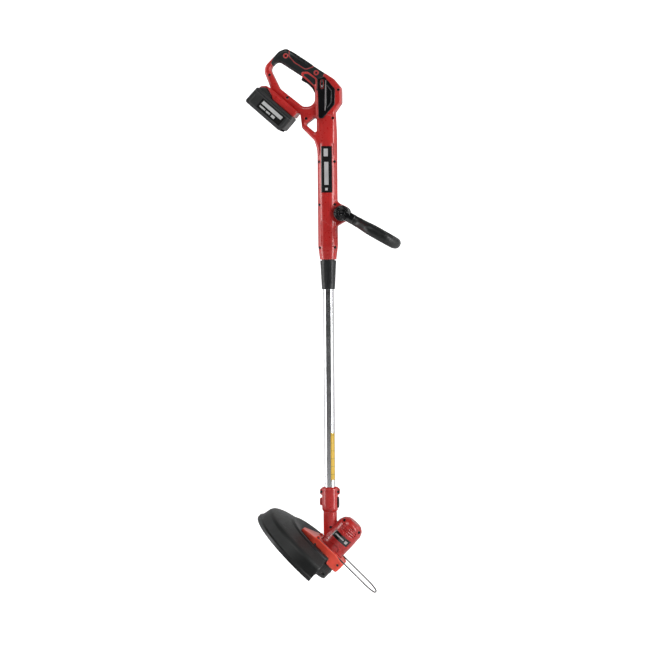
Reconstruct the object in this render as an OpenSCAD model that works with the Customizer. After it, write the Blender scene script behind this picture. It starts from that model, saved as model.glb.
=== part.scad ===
// Battery string trimmer: D-grip handle on a telescopic aluminium shaft,
// swivelling motor head, guard, spool head and folding wire edge guide.
// Frame: origin on the tube's axis, half way along its bare length.
// +Z runs up the tube to the handle, +X is forward, the user's right is -Y.

/* [Shaft] */
// Outer diameter of the aluminium tube
tube_d = 25; // [24:0.5:26]
// Wall thickness of the tube
tube_wall = 1.2; // [1:0.1:2]
// Length of tube seen between the lock collar and the coupling
bare_tube = 466; // [440:2:480]
// How far the tube slides up into the handle
slide_travel = 180; // [100:5:190]

/* [Handle] */
// Outer diameter of the handle's round column
column_d = 47; // [46:0.5:48]
// Wall thickness of the moulded shells
shell_wall = 3; // [2.5:0.25:3]
// Half width of the loop across its flat sides
loop_half = 18; // [17:0.5:19]
// Half width of the head above the column
head_half = 22.3; // [22:0.1:23]
// Thickness of the soft cover on the grip
cover_t = 2; // [1.5:0.25:2]

/* [Front handle] */
// Angle of the front handle below level
aux_drop = 30; // [20:1:40]
// Distance from its pivot to the end of the loop
aux_reach = 154; // [140:1:160]
// Width of the loop from side to side
aux_width = 124; // [110:2:130]
// Thickness of the loop's bar, seen from the side
aux_bar = 26; // [22:1:27]

/* [Battery] */
// Length along the slide direction
pack_len = 113; // [112:0.5:114]
// Height below the foot
pack_h = 44.8; // [44:0.2:47]
// Width from side to side
pack_w = 75; // [74:0.5:80]
// Angle of the slide below level
pack_tilt = 41.5; // [41:0.5:42]

/* [Head] */
// Angle of the spindle from the tube's axis
head_tilt = 43; // [42:0.5:44]
// Radius of the motor housing
motor_r = 32.5; // [32:0.5:33]
// Radius of the guard at its rim
guard_r = 178; // [170:1:180]
// Thickness of the guard's wall
guard_t = 2.6; // [2:0.1:3]
// Sweep of the guard about the spindle, in degrees
guard_sweep = 190; // [180:2:190]
// Radius of the spool housing
spool_r = 36.5; // [35:0.5:37]
// Wire diameter of the edge guide
wire_d = 3.2; // [3:0.1:3.4]

/* [Hidden] */
$fn = 64;
arc_step = 12;
// Clearance round a part that moves, round one that is only fitted, and at a parting plane
moving_gap = 0.3;
fit_gap = 0.05;
part_gap = 0.05;
// Wall round the triangular window
window_wall = 4.6;
// A length greater than any in the part
far = 400;
tube_r = tube_d / 2;
column_r = column_d / 2;
column_in = column_r - shell_wall;
// Length of tube inside the handle
tube_hidden = 146;
tube_top = bare_tube / 2 + tube_hidden;
// Height of the coiled lead when the tube is pushed right in
lead_packed = 29;
collar_top = 301;
collar_low = bare_tube / 2;
mouth_z = 303;
mouth_top = 335;
sleeve_top = -bare_tube / 2 - 1;
sleeve_low = -292;
spigot_r = 14.5;
// Widest radius of the collet, and of the part of it inside the lock collar
collet_r = 15.8;
collet_thread_r = 15.2;
pack_at = [-77.2, 0, 637.1];
aux_at = [35, 0, 411];
spindle_u = 260;
rim_w = -339;
wire_r = wire_d / 2;
wire_at = [-39, 0, -273.5];
wire_dip = 1.7;
trigger_at = [-19, 703];
screw_r = 1.5;
screw_head_r = 3.1;
screw_head_h = 2.2;
// Where the screw heads start, on the right side, and the screws' lengths
loop_screw_y = -13.5;
column_screw_y = -12.5;
head_screw_y = -13;
loop_screw_len = 25;
short_screw_len = 22;

red = [0.72, 0.11, 0.11];
bright_red = [0.85, 0.22, 0.15];
black = [0.06, 0.06, 0.065];
dark = [0.16, 0.16, 0.17];
steel = [0.62, 0.63, 0.65];
board_green = [0.05, 0.3, 0.15];
cell_blue = [0.15, 0.35, 0.6];
aluminium = [0.8, 0.81, 0.82];
yellow = [0.85, 0.7, 0.1];
line_yellow = [0.75, 0.8, 0.2];

// ---- Outlines -------------------------------------------------------------
// Corners are [x, z, corner radius], anticlockwise.

handle_outline = [[20, 550, 0], [20, 650, 8], [35, 671, 9], [35, 706, 8], [17, 727.5, 12], [-94, 801.5, 14],
    [-112, 794.5, 20], [-150.5, 755, 14], [-131, 705, 3], [-62, 644, 4], [-58.5, 613, 8], [-30, 584, 14],
    [-22, 560, 10], [-20, 550, 0]];
finger_outline = [[-133, 754, 12], [-110.8, 707.5, 10], [-56.2, 663.5, 14], [-27.5, 663.5, 18],
    [-27.5, 708.3, 14], [-56, 733, 16], [-116, 772.5, 12]];
window_outline = [[-23.5, 641, 5], [-50.5, 621, 4], [-23.5, 598.5, 4]];
head_outline = [[-24, 640, 4], [18, 640, 0], [20, 650, 8], [35, 671, 9], [35, 706, 8], [17, 727.5, 10],
    [-4, 741.5, 6], [-24, 724, 6]];
panel_outline = [[-18, 634, 4], [-8, 634, 6], [20.5, 666, 5], [22, 702, 5], [-4, 733, 4], [-20, 727, 4]];
grip_zone = [[-119, 812, 0], [-119, 790, 0], [-131, 766, 0], [-126, 750, 0], [-60, 690, 0], [-26, 696, 0],
    [-22, 716, 0], [-6, 738, 0], [-3, 744, 0], [0, 812, 0]];
pad_zone = [[-86, 812, 0], [-86, 782, 6], [-74, 768, 8], [-48, 751, 8], [-30, 757, 4], [-30, 812, 0]];
slot_outline = [[-64, 722, 0], [-40, 700, 0], [-30, 690, 0], [-12, 690, 0], [-12, 718, 0], [-56, 748, 0]];
trigger_outline = [[-60.5, 726, 2], [-45, 717, 8], [-34, 706, 8], [-29, 696, 2], [-21, 697, 4],
    [-14.5, 698.5, 3], [-14.5, 708, 3], [-35, 723, 2], [-37, 735, 2], [-46, 738, 2], [-48, 730, 2],
    [-57, 735, 2]];
lock_outline = [[-12.5, 704, 3.4], [-5.5, 704, 3.4], [-5.5, 725, 3.4], [-12.5, 725, 3.4]];
chevron_outline = [[1, 660, 2], [12, 672, 3], [13, 698, 3], [1, 713, 2]];
boss_outline = [[14, 376, 0], [30, 386, 6], [48, 396, 12], [48, 426, 12], [30, 434, 6], [14, 448, 0]];
foot_outline = [[-64, 0, 3], [0, 0, 3], [0, 16, 4], [-93, 16, 1], [-91, 12.2, 2], [-72, 5.5, 4]];
pack_outline = [[-pack_len + 1, -pack_h - 0.5, 6], [1, -pack_h - 0.5, 10], [1, -0.5, 3],
    [-pack_len + 2, -0.5, 4]];
hump_outline = [[-109.5, -2, 0], [-66.5, -2, 0], [-66.5, -0.5, 1], [-74, 5.2, 3], [-93, 11.6, 2],
    [-98, 12.2, 4], [-108.5, 4, 4]];
latch_outline = [[-107, 2, 2], [-94.4, 7, 1], [-94.4, 15.2, 2], [-99, 15, 6], [-107.6, 6, 3]];

// [outline inset, half width] steps that round the edges of the flat-sided mouldings
loop_steps = [[0, loop_half - 5], [2.2, loop_half - 2], [5.5, loop_half]];
head_steps = [[0, head_half - 5], [2.5, head_half - 1.8], [5, head_half]];
foot_steps = [[0, 30], [1.8, 32]];
pack_steps = [[0, pack_w / 2 - 3.5], [3, pack_w / 2]];

handle_screw_points = [[-95, 783], [-23, 742], [-134, 739], [-92, 685], [-48, 635], [29, 701], [14.9, 635]];
column_screw_points = [[-18, 533], [18, 533], [-18, 432], [18, 432], [-17.8, 331], [17.8, 331]];
head_screw_points = [[-22, -203], [23, -201], [-34.6, -238]];

function unit(v) = v / norm(v);
function left_of(v) = [-v[1], v[0]];
function turn(a, b) = a[0] * b[1] - a[1] * b[0];
function flat_point(q) = [q[0], q[1]];
function neighbours(p, i) = let (n = len(p))
    [flat_point(p[(i + n - 1) % n]), flat_point(p[i]), flat_point(p[(i + 1) % n])];

// Moves every side of an outline inwards by d and keeps its corners concentric
function shrink(p, d) = [for (i = [0 : len(p) - 1])
    let (c = neighbours(p, i), u = unit(c[1] - c[0]), v = unit(c[2] - c[1]),
        n = left_of(u), m = left_of(v), q = c[1] + d * (n + m) / (1 + n * m),
        r = p[i][2] > 0 ? p[i][2] - d * sign(turn(u, v)) : 0)
    [q[0], q[1], max(0, r)]];

// Points of an outline with its corners rounded
function rounded(p) = [for (i = [0 : len(p) - 1])
    let (c = neighbours(p, i), a = unit(c[0] - c[1]), b = unit(c[2] - c[1]), r = p[i][2],
        h = acos(max(-1, min(1, a * b))) / 2)
    each (r < 0.05 || h > 89) ? [c[1]] :
        let (t = r / tan(h), m = c[1] + unit(a + b) * r / sin(h), s = c[1] + a * t - m, e = c[1] + b * t - m,
            a0 = atan2(s[1], s[0]), w = atan2(e[1], e[0]) - a0,
            da = w > 180 ? w - 360 : w < -180 ? w + 360 : w, k = max(1, ceil(abs(da) / arc_step)))
        [for (j = [0 : k]) m + r * [cos(a0 + da * j / k), sin(a0 + da * j / k)]]];

// ---- Shared shapes --------------------------------------------------------

module slab(points, y0, y1) translate([0, y1, 0]) rotate([90, 0, 0]) linear_extrude(y1 - y0) polygon(points);

module stepped(outline, steps, inset = 0)
    for (s = steps)
        slab(rounded(shrink(outline, s[0] + inset)), -s[1] + inset, s[1] - inset);

module ring(r_out, r_in, z0, z1) translate([0, 0, z0]) difference() {
    cylinder(r = r_out, h = z1 - z0);
    translate([0, 0, -1]) cylinder(r = r_in, h = z1 - z0 + 2);
}

module rod(x, z, y0, y1, r) translate([x, y1, z]) rotate([90, 0, 0]) cylinder(r = r, h = y1 - y0, $fn = 32);

module block(x0, x1, y0, y1, z0, z1) translate([x0, y0, z0]) cube([x1 - x0, y1 - y0, z1 - z0]);

// Keeps one side of the parting plane: side is -1 for the right half, 1 for the left
module half(side) intersection() {
    children();
    block(-far, far, side > 0 ? part_gap : -far, side > 0 ? far : -part_gap, -2 * far, 3 * far);
}

// A screw along +Y whose head starts at y0
module screw(x, z, y0, length) {
    rod(x, z, y0, y0 + screw_head_h, screw_head_r);
    rod(x, z, y0 + screw_head_h, y0 + length, screw_r);
}

// The room for that screw, open outwards on the right side
module screw_room(x, z, y0, length) {
    rod(x, z, y0 - 20, y0 + screw_head_h + fit_gap, screw_head_r + 0.2);
    rod(x, z, y0, y0 + length + 0.5, screw_r + fit_gap);
}

module pack_frame() translate(pack_at) rotate([0, pack_tilt, 0]) children();
module aux_frame() translate(aux_at) rotate([0, aux_drop, 0]) children();
module head_frame() rotate([0, head_tilt, 0]) translate([spindle_u, 0, 0]) children();
module wire_frame() translate(wire_at) rotate([0, wire_dip, 0]) children();

// ---- Handle ---------------------------------------------------------------

module column_solid() {
    translate([0, 0, mouth_z]) cylinder(r1 = 19, r2 = column_r, h = mouth_top - mouth_z);
    translate([0, 0, mouth_top]) cylinder(r = column_r, h = 600 - mouth_top);
    translate([0, 0, 600]) cylinder(r1 = column_r, r2 = 20, h = 50);
}

module loop_solid(inset = 0) for (s = loop_steps) difference() {
    slab(rounded(shrink(handle_outline, s[0] + inset)), -s[1] + inset, s[1] - inset);
    slab(rounded(shrink(finger_outline, -s[0] - inset)), -far, far);
    slab(rounded(shrink(window_outline, -s[0] - inset)), -far, far);
}

module handle_cavity() {
    difference() {
        slab(rounded(shrink(handle_outline, shell_wall + cover_t)), -loop_half + 4, loop_half - 4);
        slab(rounded(shrink(finger_outline, -shell_wall - cover_t)), -far, far);
        slab(rounded(shrink(window_outline, -window_wall)), -far, far);
    }
    slab(rounded(shrink(head_outline, shell_wall)), -head_half + 5.3, head_half - 5.3);
    translate([0, 0, mouth_top + 1]) cylinder(r = column_in, h = 598 - mouth_top);
    translate([0, 0, 598]) cylinder(r1 = column_in, r2 = 17, h = 50);
}

module screw_bosses() {
    for (p = handle_screw_points) rod(p[0], p[1], -14.5, 14.5, 3.6);
    for (p = column_screw_points) rod(p[0], p[1], -14.5, 14.5, 3.3);
    for (s = [-1, 1]) rod(trigger_at[0], trigger_at[1], s > 0 ? 13 : -17.2, s > 0 ? 17.2 : -13, 4.2);
}

module battery_slide_room() pack_frame() {
    block(-120, -4.2, -22, 22, -1, 4.6);
    block(-120, -4.2, -27.4, 27.4, 4.5, 12.9);
}

module handle_room() {
    battery_slide_room();
    translate([0, 0, mouth_z - 1]) cylinder(r = collet_r + 0.2, h = 40);
    slab(rounded(slot_outline), -7.8, 7.8);
    slab(rounded(panel_outline), -far, -head_half + 2.8);
    slab(rounded(panel_outline), head_half - 2.8, far);
    slab(rounded(shrink(lock_outline, -moving_gap)), -far, far);
    for (s = [-1, 1]) rod(aux_at[0], aux_at[2], s > 0 ? 13 : -28, s > 0 ? 28 : -13, 19);
    rod(aux_at[0], aux_at[2], -30, 30, 4 + fit_gap);
    rod(trigger_at[0], trigger_at[1], -15.9, 15.9, 2 + fit_gap);
    for (p = handle_screw_points) screw_room(p[0], p[1], loop_screw_y, loop_screw_len);
    for (p = column_screw_points) screw_room(p[0], p[1], column_screw_y, short_screw_len);
    label_solid(far, 0.9);
}

module handle_half(side) half(side) difference() {
    union() {
        difference() {
            union() {
                difference() {
                    loop_solid();
                    difference() {
                        slab(rounded(grip_zone), -far, far);
                        loop_solid(cover_t);
                        slab(rounded(head_outline), -far, far);
                    }
                }
                stepped(head_outline, head_steps);
                column_solid();
                pack_frame() stepped(foot_outline, foot_steps);
                slab(rounded(boss_outline), -13, 13);
            }
            handle_cavity();
        }
        intersection() {
            screw_bosses();
            union() {
                loop_solid(cover_t);
                column_solid();
                stepped(head_outline, head_steps);
            }
        }
    }
    handle_room();
}
module handle_shell_right() color(red) handle_half(-1);
module handle_shell_left() color(red) handle_half(1);

// Soft cover over the grip: what the shells leave free inside the grip zone
module cover_half(side) half(side) difference() {
    intersection() {
        loop_solid();
        slab(rounded(grip_zone), -far, far);
    }
    loop_solid(cover_t - 0.02);
    slab(rounded(head_outline), -far, far);
    slab(rounded(shrink(pad_zone, -0.02)), -far, far);
    slab(rounded(slot_outline), -7.8, 7.8);
    for (p = handle_screw_points) screw_room(p[0], p[1], loop_screw_y, loop_screw_len);
}
module grip_cover_right() color(black) cover_half(-1);
module grip_cover_left() color(black) cover_half(1);

// Softer pad let into the top of the grip
module grip_pad() color(dark) difference() {
    intersection() {
        loop_solid();
        slab(rounded(pad_zone), -far, far);
    }
    loop_solid(cover_t - 0.02);
}

module side_panel(side) color(black) difference() {
    slab(rounded(shrink(panel_outline, 0.1)), side > 0 ? head_half - 2.7 : -head_half - 0.5,
        side > 0 ? head_half + 0.5 : -head_half + 2.7);
    slab(rounded(shrink(lock_outline, -moving_gap)), -far, far);
    slab(rounded(chevron_outline),
        side > 0 ? head_half - 1.5 : -far, side > 0 ? far : -head_half + 1.5);
}
module side_panel_right() side_panel(-1);
module side_panel_left() side_panel(1);

// Blank plate let into the column, from depth under its surface out to proud above it
module label_solid(proud, depth) intersection() {
    ring(column_r + proud, column_r - depth, 460, 569);
    block(-13, 13, -far, far, 460, 569);
}
module label_half(side) color(black) intersection() {
    label_solid(0.5, 0.8);
    block(-12.9, 12.9, side > 0 ? 1 : -far, side > 0 ? far : -1, 460.1, 568.9);
}
module label_plate_right() label_half(-1);
module label_plate_left() label_half(1);

module handle_screws() color(steel) {
    for (p = handle_screw_points) screw(p[0], p[1], loop_screw_y, loop_screw_len);
    for (p = column_screw_points) screw(p[0], p[1], column_screw_y, short_screw_len);
}

module trigger() color(black) difference() {
    slab(rounded(trigger_outline), -7.2, 7.2);
    rod(trigger_at[0], trigger_at[1], -9, 9, 2 + fit_gap);
}
module trigger_pin() color(steel) rod(trigger_at[0], trigger_at[1], -15.8, 15.8, 2);

module trigger_switch() color(dark) translate([-43, 0, 751]) rotate([0, 34, 0]) {
    block(-13, 13, -7, 7, -4, 5.5);
    block(-4, 4, -3, 3, -5.2, -4);
}

// Torsion spring round the pin, beside the trigger
module trigger_spring() color(steel) for (i = [0 : 3])
    translate([trigger_at[0], 8.6 + 1.3 * i, trigger_at[1]]) rotate([90, 0, 0])
        rotate_extrude($fn = 32) translate([3, 0]) circle(r = 0.5, $fn = 16);

module lock_off_button() color(black)
    slab(rounded(lock_outline), -25.6, 25.6);

module control_board() color(board_green) {
    block(-1, 25, -8, -6.4, 664, 704);
    block(4, 12, -6.4, -1, 670, 684);
    block(14, 22, -6.4, 3, 688, 700);
}

module terminal_block() color(dark) pack_frame() {
    block(-10, -4.3, -20, 20, 5.2, 12.6);
    for (y = [-15, -5, 5, 15]) block(-20, -10, y - 0.4, y + 0.4, 6.5, 11.5);
}

module collet() color(dark) difference() {
    union() {
        translate([0, 0, 256]) cylinder(r = collet_thread_r, h = collar_top - 256 + 2);
        translate([0, 0, mouth_z]) cylinder(r = collet_r, h = 33);
        translate([0, 0, mouth_top]) cylinder(r = 14.2, h = 21);
    }
    translate([0, 0, 200]) cylinder(r = tube_r + fit_gap, h = 200);
    for (a = [0, 90]) rotate([0, 0, a]) block(-20, 20, -0.8, 0.8, 255, 285);
}

module lock_collar() color(black) difference() {
    union() {
        translate([0, 0, collar_low]) cylinder(r1 = 15.2, r2 = 16.6, h = 18);
        translate([0, 0, collar_low + 18]) cylinder(r1 = 16.6, r2 = 19, h = collar_top - collar_low - 18);
    }
    translate([0, 0, collar_low - 1]) cylinder(r = tube_r + moving_gap, h = 40);
    translate([0, 0, 255.4]) cylinder(r = collet_thread_r + moving_gap, h = 60);
}

// Coiled lead between the board and the tube, as the tube of its outer size
module coiled_lead() color(dark) translate([0, 0, tube_top + 8])
    cylinder(r = 9.5, h = slide_travel + lead_packed);

// ---- Front handle ---------------------------------------------------------

aux_outer = [[4, -26, 0], [42, -27, 20], [74, -aux_width / 2, 30], [aux_reach, -aux_width / 2, 44],
    [aux_reach, aux_width / 2, 44], [74, aux_width / 2, 30], [42, 27, 20], [4, 26, 0]];
aux_in_y = aux_width / 2 - 21;
aux_in_x = aux_reach - 23;
aux_inner = [[-30, -13.4, 0], [44, -13.4, 8], [80, -aux_in_y, 14], [aux_in_x, -aux_in_y, 22],
    [aux_in_x, aux_in_y, 22], [80, aux_in_y, 14], [44, 13.4, 8], [-30, 13.4, 0]];
aux_split = 62;

aux_steps = [[0, aux_bar / 2 - 4], [2.5, aux_bar / 2 - 1.2], [5, aux_bar / 2]];

module aux_solid(inset) for (s = aux_steps)
    translate([0, 0, -s[1] + inset]) linear_extrude(2 * (s[1] - inset)) difference() {
        polygon(rounded(shrink(aux_outer, s[0] + inset)));
        polygon(rounded(shrink(aux_inner, -s[0] - inset)));
    }

module aux_loop() color(dark) aux_frame() difference() {
    union() {
        difference() {
            aux_solid(0);
            difference() {
                block(aux_split, 200, -far, far, -30, 30);
                aux_solid(2);
            }
        }
        for (s = [-1, 1]) rod(0, 0, s > 0 ? 13.4 : -26, s > 0 ? 26 : -13.4, 18.4);
    }
    block(-40, 20, -13.4, 13.4, -30, 30);
    rod(0, 0, -40, 40, 4 + fit_gap);
    rod(0, 0, -40, -18, 8 + moving_gap);
    rod(0, 0, 18, 40, 8 + moving_gap);
}

module aux_grip() color(black) aux_frame() difference() {
    intersection() {
        aux_solid(0);
        block(aux_split, 200, -far, far, -30, 30);
    }
    aux_solid(1.98);
}

module aux_bolt() color(steel) {
    rod(aux_at[0], aux_at[2], -17.6, 24, 4);
    rod(aux_at[0], aux_at[2], 18.3, 24.5, 7.5);
}

module aux_lock_button() color(black) aux_frame() rod(0, 0, -27.5, -21.5, 8);

// ---- Battery --------------------------------------------------------------

module pack_solid(inset = 0) stepped(pack_outline, pack_steps, inset);

pack_seam = -9;
latch_travel = 3.2;
latch_half = 17;

module battery_cavity() block(-pack_len + 3.5, -1.5, -pack_w / 2 + 5.2, pack_w / 2 - 5.2, -pack_h + 1.5, -3);

module battery_screw_room(r, z0, z1)
    for (x = [-pack_len + 6, -4.6], y = [-29, 29])
        translate([x, y, z0]) cylinder(r = r, h = z1 - z0, $fn = 24);

module battery_posts() intersection() {
    battery_screw_room(3, -pack_h, -3);
    pack_solid(0.5);
}

module battery_case() color(dark) pack_frame() difference() {
    union() {
        difference() {
            intersection() {
                pack_solid();
                block(-far, far, -far, far, -far, pack_seam);
            }
            battery_cavity();
        }
        intersection() {
            battery_posts();
            block(-far, far, -far, far, -far, pack_seam);
        }
    }
    battery_screw_room(1.25 + fit_gap, -far, 0);
    battery_screw_room(2.6, -far, -pack_h + 3);
    for (s = [-1, 1])
        block(-82, -12, s > 0 ? pack_w / 2 - 0.6 : -far, s > 0 ? far : -pack_w / 2 + 0.6, -37, -12);
}

module battery_cover() color(dark) pack_frame() difference() {
    union() {
        intersection() {
            pack_solid();
            block(-far, far, -far, far, pack_seam + 0.05, 10);
        }
        slab(rounded(hump_outline), -30, 30);
        block(-92, -10.5, -21.6, 21.6, -1, 5);
        block(-92, -10.5, -27, 27, 4.95, 12.4);
    }
    difference() {
        battery_cavity();
        battery_posts();
    }
    battery_screw_room(1.25 + fit_gap, -far, -5);
    for (y = [-15, -5, 5, 15]) block(-24, -9, y - 1, y + 1, 5.6, 12);
    for (i = [0 : 4]) translate([0, 0, -latch_travel * i / 4])
        slab(rounded(shrink(latch_outline, -moving_gap)), -latch_half - moving_gap, latch_half + moving_gap);
}

module battery_cells() color(cell_blue) pack_frame()
    for (i = [0 : 4], z = [-33, -14.1]) translate([-94.3 + 18.9 * i, 0, z]) rod(0, 0, -31.5, 31.5, 9.1);

module battery_board() color(board_green) pack_frame() block(-90, -20, -28, 28, -4.6, -3.2);

module battery_label(side) color(black) pack_frame()
    block(-81.8, -12.2, side > 0 ? pack_w / 2 - 0.55 : -pack_w / 2 - 0.2,
        side > 0 ? pack_w / 2 + 0.2 : -pack_w / 2 + 0.55, -36.8, -12.2);
module battery_label_right() battery_label(-1);
module battery_label_left() battery_label(1);

module battery_screws() color(steel) pack_frame() {
    battery_screw_room(1.25, -pack_h + 3, -5.5);
    battery_screw_room(2.4, -pack_h + 1, -pack_h + 3);
}

module battery_latch() color(red) pack_frame() slab(rounded(latch_outline), -latch_half, latch_half);

// ---- Shaft and coupling ---------------------------------------------------

module shaft_tube() color(aluminium) ring(tube_r, tube_r - tube_wall, -258, tube_top);
module tube_end_ring() color(dark) difference() {
    union() {
        ring(14.2, 8.5, tube_top, tube_top + 4);
        ring(tube_r - tube_wall - fit_gap, 8.5, tube_top - 12, tube_top + 1);
    }
}
module motor_lead() color(dark) translate([0, 0, -322]) cylinder(r = 2.6, h = tube_top + 330, $fn = 24);

module warning_strip() color(yellow) translate([0, 0, -217]) rotate([0, 0, -72])
    rotate_extrude(angle = 52) translate([tube_r + 0.02, 0]) square([0.35, 111]);

ear_outline = [[-23.5, -252, 4], [23.5, -252, 4], [23.5, -239, 5], [17, sleeve_top, 4],
    [-17, sleeve_top, 4], [-23.5, -239, 5]];
rear_boss_outline = [[-24, -276, 3], [0, -276, 0], [0, -260, 0], [-24, -260, 3]];
button_outline = [[18, -283, 0.6], [20.8, -283, 2], [22, -277, 4], [22, -263, 4], [20.8, -257, 2],
    [18, -257, 0.6]];

module sleeve_solid() {
    translate([0, 0, sleeve_low]) cylinder(r1 = 15.6, r2 = 19, h = 5);
    translate([0, 0, sleeve_low + 5]) cylinder(r = 19, h = sleeve_top - sleeve_low - 9);
    translate([0, 0, sleeve_top - 4]) cylinder(r1 = 19, r2 = 15.5, h = 4);
    slab(rounded(ear_outline), -6.5, 6.5);
    slab(rounded(rear_boss_outline), -7, 7);
}

module sleeve_half(side) half(side) difference() {
    sleeve_solid();
    translate([0, 0, -259]) cylinder(r = tube_r + fit_gap, h = 40);
    translate([0, 0, -300]) cylinder(r = spigot_r + fit_gap, h = 41.5);
    translate([0, 0, -270.4]) cylinder(r = 16.3, h = 3.8);
    block(16, 30, -5.3, 5.3, -283.3, -256.7);
    for (x = [-20, 20]) {
        rod(x, -245, -far, -4.3, 3);
        rod(x, -245, -10, 5.6, 1.3 + fit_gap);
    }
}
module coupling_shell_right() color(red) sleeve_half(-1);
module coupling_shell_left() color(red) sleeve_half(1);

module coupling_screws() color(steel) for (x = [-20, 20]) {
    rod(x, -245, -6.2, -4.35, 2.8);
    rod(x, -245, -4.35, 5.4, 1.3);
}

module rotation_button() color(dark) difference() {
    slab(rounded(button_outline), -5, 5);
    for (z = [-276, -270, -264]) block(21.2, 30, -far, far, z - 0.8, z + 0.8);
}

// ---- Motor head -----------------------------------------------------------

can_r = 19.3;

module swivel_spigot() color(dark) difference() {
    union() {
        translate([0, 0, -320]) cylinder(r = spigot_r, h = 58);
        translate([0, 0, -270]) cylinder(r = 16, h = 3);
    }
    translate([0, 0, -330]) cylinder(r = 11.8, h = 80);
}

module housing_solid() {
    head_frame() {
        translate([0, 0, -281]) cylinder(r1 = 29, r2 = motor_r, h = 5);
        translate([0, 0, -276]) cylinder(r = motor_r, h = 67);
        translate([0, 0, -209]) cylinder(r1 = motor_r, r2 = 27, h = 11);
        translate([0, 0, -198]) cylinder(r1 = 27, r2 = 18, h = 7);
    }
    translate([0, 0, -350]) cylinder(r = 16, h = 57.5);
}

module housing_cavity() {
    head_frame() {
        translate([0, 0, -278]) cylinder(r = motor_r - shell_wall, h = 67);
        translate([0, 0, -212]) cylinder(r = 19.5, h = 17);
        translate([0, 0, -290]) cylinder(r = 6.5 + fit_gap, h = 20);
    }
    translate([0, 0, -320.2]) cylinder(r = spigot_r + fit_gap, h = 40);
    translate([0, 0, -344]) cylinder(r = 12.5, h = 40);
}

module vent_slots() head_frame() for (w = [-216, -221, -226], s = [-1, 1])
    block(-16, 16, s > 0 ? 15 : -far, s > 0 ? far : -15, w - 1.2, w + 1.2);

module housing_half(side) half(side) difference() {
    union() {
        difference() {
            housing_solid();
            housing_cavity();
        }
        intersection() {
            housing_solid();
            head_frame() {
                for (p = head_screw_points) rod(p[0], p[1], -14, 14, 3.4);
                for (w = [-264, -236]) ring(motor_r - 1, can_r + 0.2, w, w + 3);
            }
        }
    }
    head_frame() {
        for (p = head_screw_points) screw_room(p[0], p[1], head_screw_y, short_screw_len);
        translate([0, 0, -271]) cylinder(r = can_r + 0.2, h = 66);
        motor_label_solid(2, 1, 0);
    }
    vent_slots();
}
module motor_housing_right() color(red) housing_half(-1);
module motor_housing_left() color(red) housing_half(1);

module housing_screws() color(steel) head_frame()
    for (p = head_screw_points) screw(p[0], p[1], head_screw_y, short_screw_len);

// Blank plate let into the motor housing, from depth under its surface out to proud above it
module motor_label_solid(proud, depth, inset) intersection() {
    ring(motor_r + proud, motor_r - depth, -245 + inset, -231 - inset);
    block(-21 + inset, 24 - inset, -far, -15, -250, -225);
}
module motor_label() color(black) head_frame() motor_label_solid(0.4, 0.9, 0.1);

module motor_can() color(steel) head_frame() difference() {
    union() {
        translate([0, 0, -270.5]) cylinder(r = can_r, h = 62);
        translate([0, 0, -208.5]) cylinder(r = 8, h = 5);
    }
    translate([0, 0, -280]) cylinder(r = 2.5 + fit_gap, h = 90);
}

module motor_bearing() color(steel) head_frame() ring(6.5, 2.5 + fit_gap, -281, -276);

module drive_shaft() color(steel) head_frame() translate([0, 0, -309]) cylinder(r = 2.5, h = 112);

bracket_plan = [[-82, -16, 8], [-46, -44, 16], [42, -44, 4], [48, -36, 4], [48, 36, 4], [42, 44, 4],
    [-46, 44, 16], [-82, 16, 8]];
bracket_side = [[-84, -291, 0], [13, -291, 1], [15, -304, 1], [44, -304, 5], [50, -290, 0], [50, -280, 0],
    [20, -273.4, 10], [-36, -273.2, 12], [-80, -284.5, 3], [-84, -290, 0]];
bracket_hollow = [[-44, -40.5, 6], [40, -40.5, 3], [44.5, -34, 3], [44.5, 34, 3], [40, 40.5, 3],
    [-44, 40.5, 6]];

module bracket_ears() for (s = [-1, 1])
    rod(wire_at[0], wire_at[2], s > 0 ? 25 : -31.8, s > 0 ? 31.8 : -25, 4.6);

module guard_bracket() color(bright_red) head_frame() difference() {
    union() {
        intersection() {
            translate([0, 0, -310]) linear_extrude(40) polygon(rounded(bracket_plan));
            slab(rounded(bracket_side), -60, 60);
        }
        bracket_ears();
    }
    translate([0, 0, -281.3]) cylinder(r = motor_r + 1, h = 30);
    translate([0, 0, -310]) linear_extrude(25) polygon(rounded(bracket_hollow));
    translate([0, 0, -290]) cylinder(r = 9, h = 20);
    wire_frame() for (s = [-1, 1]) block(-6, 120, s > 0 ? 35 : -39.2, s > 0 ? 39.2 : -35, -2.4, 30);
    wire_frame() for (s = [-1, 1]) block(-6, 12, s > 0 ? 31.85 : -39.2, s > 0 ? 39.2 : -31.85, -2.4, 30);
    wire_frame() for (s = [-1, 1]) rod(0, 0, s > 0 ? 24 : -60, s > 0 ? 60 : -24, wire_r + fit_gap);
    guard_screw_room();
}

guard_screw_points = [[38, -288.5], [-34, -288.5]];

module guard_screw_room() for (p = guard_screw_points) {
    rod(p[0], p[1], -60, -42.4, 3);
    rod(p[0], p[1], 42.4, 60, 3);
    rod(p[0], p[1], -44, -33, screw_r + fit_gap);
    rod(p[0], p[1], 33, 44, screw_r + fit_gap);
}

module guard_screws() color(steel) head_frame() {
    for (p = guard_screw_points, s = [-1, 1]) {
        rod(p[0], p[1], s > 0 ? 42.45 : -43.9, s > 0 ? 43.9 : -42.45, 2.8);
        rod(p[0], p[1], s > 0 ? 34 : -42.45, s > 0 ? 42.45 : -34, screw_r);
    }
    cutter_frame() {
        cutter_screw_room(1.3, -5, 0.5);
        cutter_screw_room(2.6, 0.5, 2);
    }
}

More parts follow.
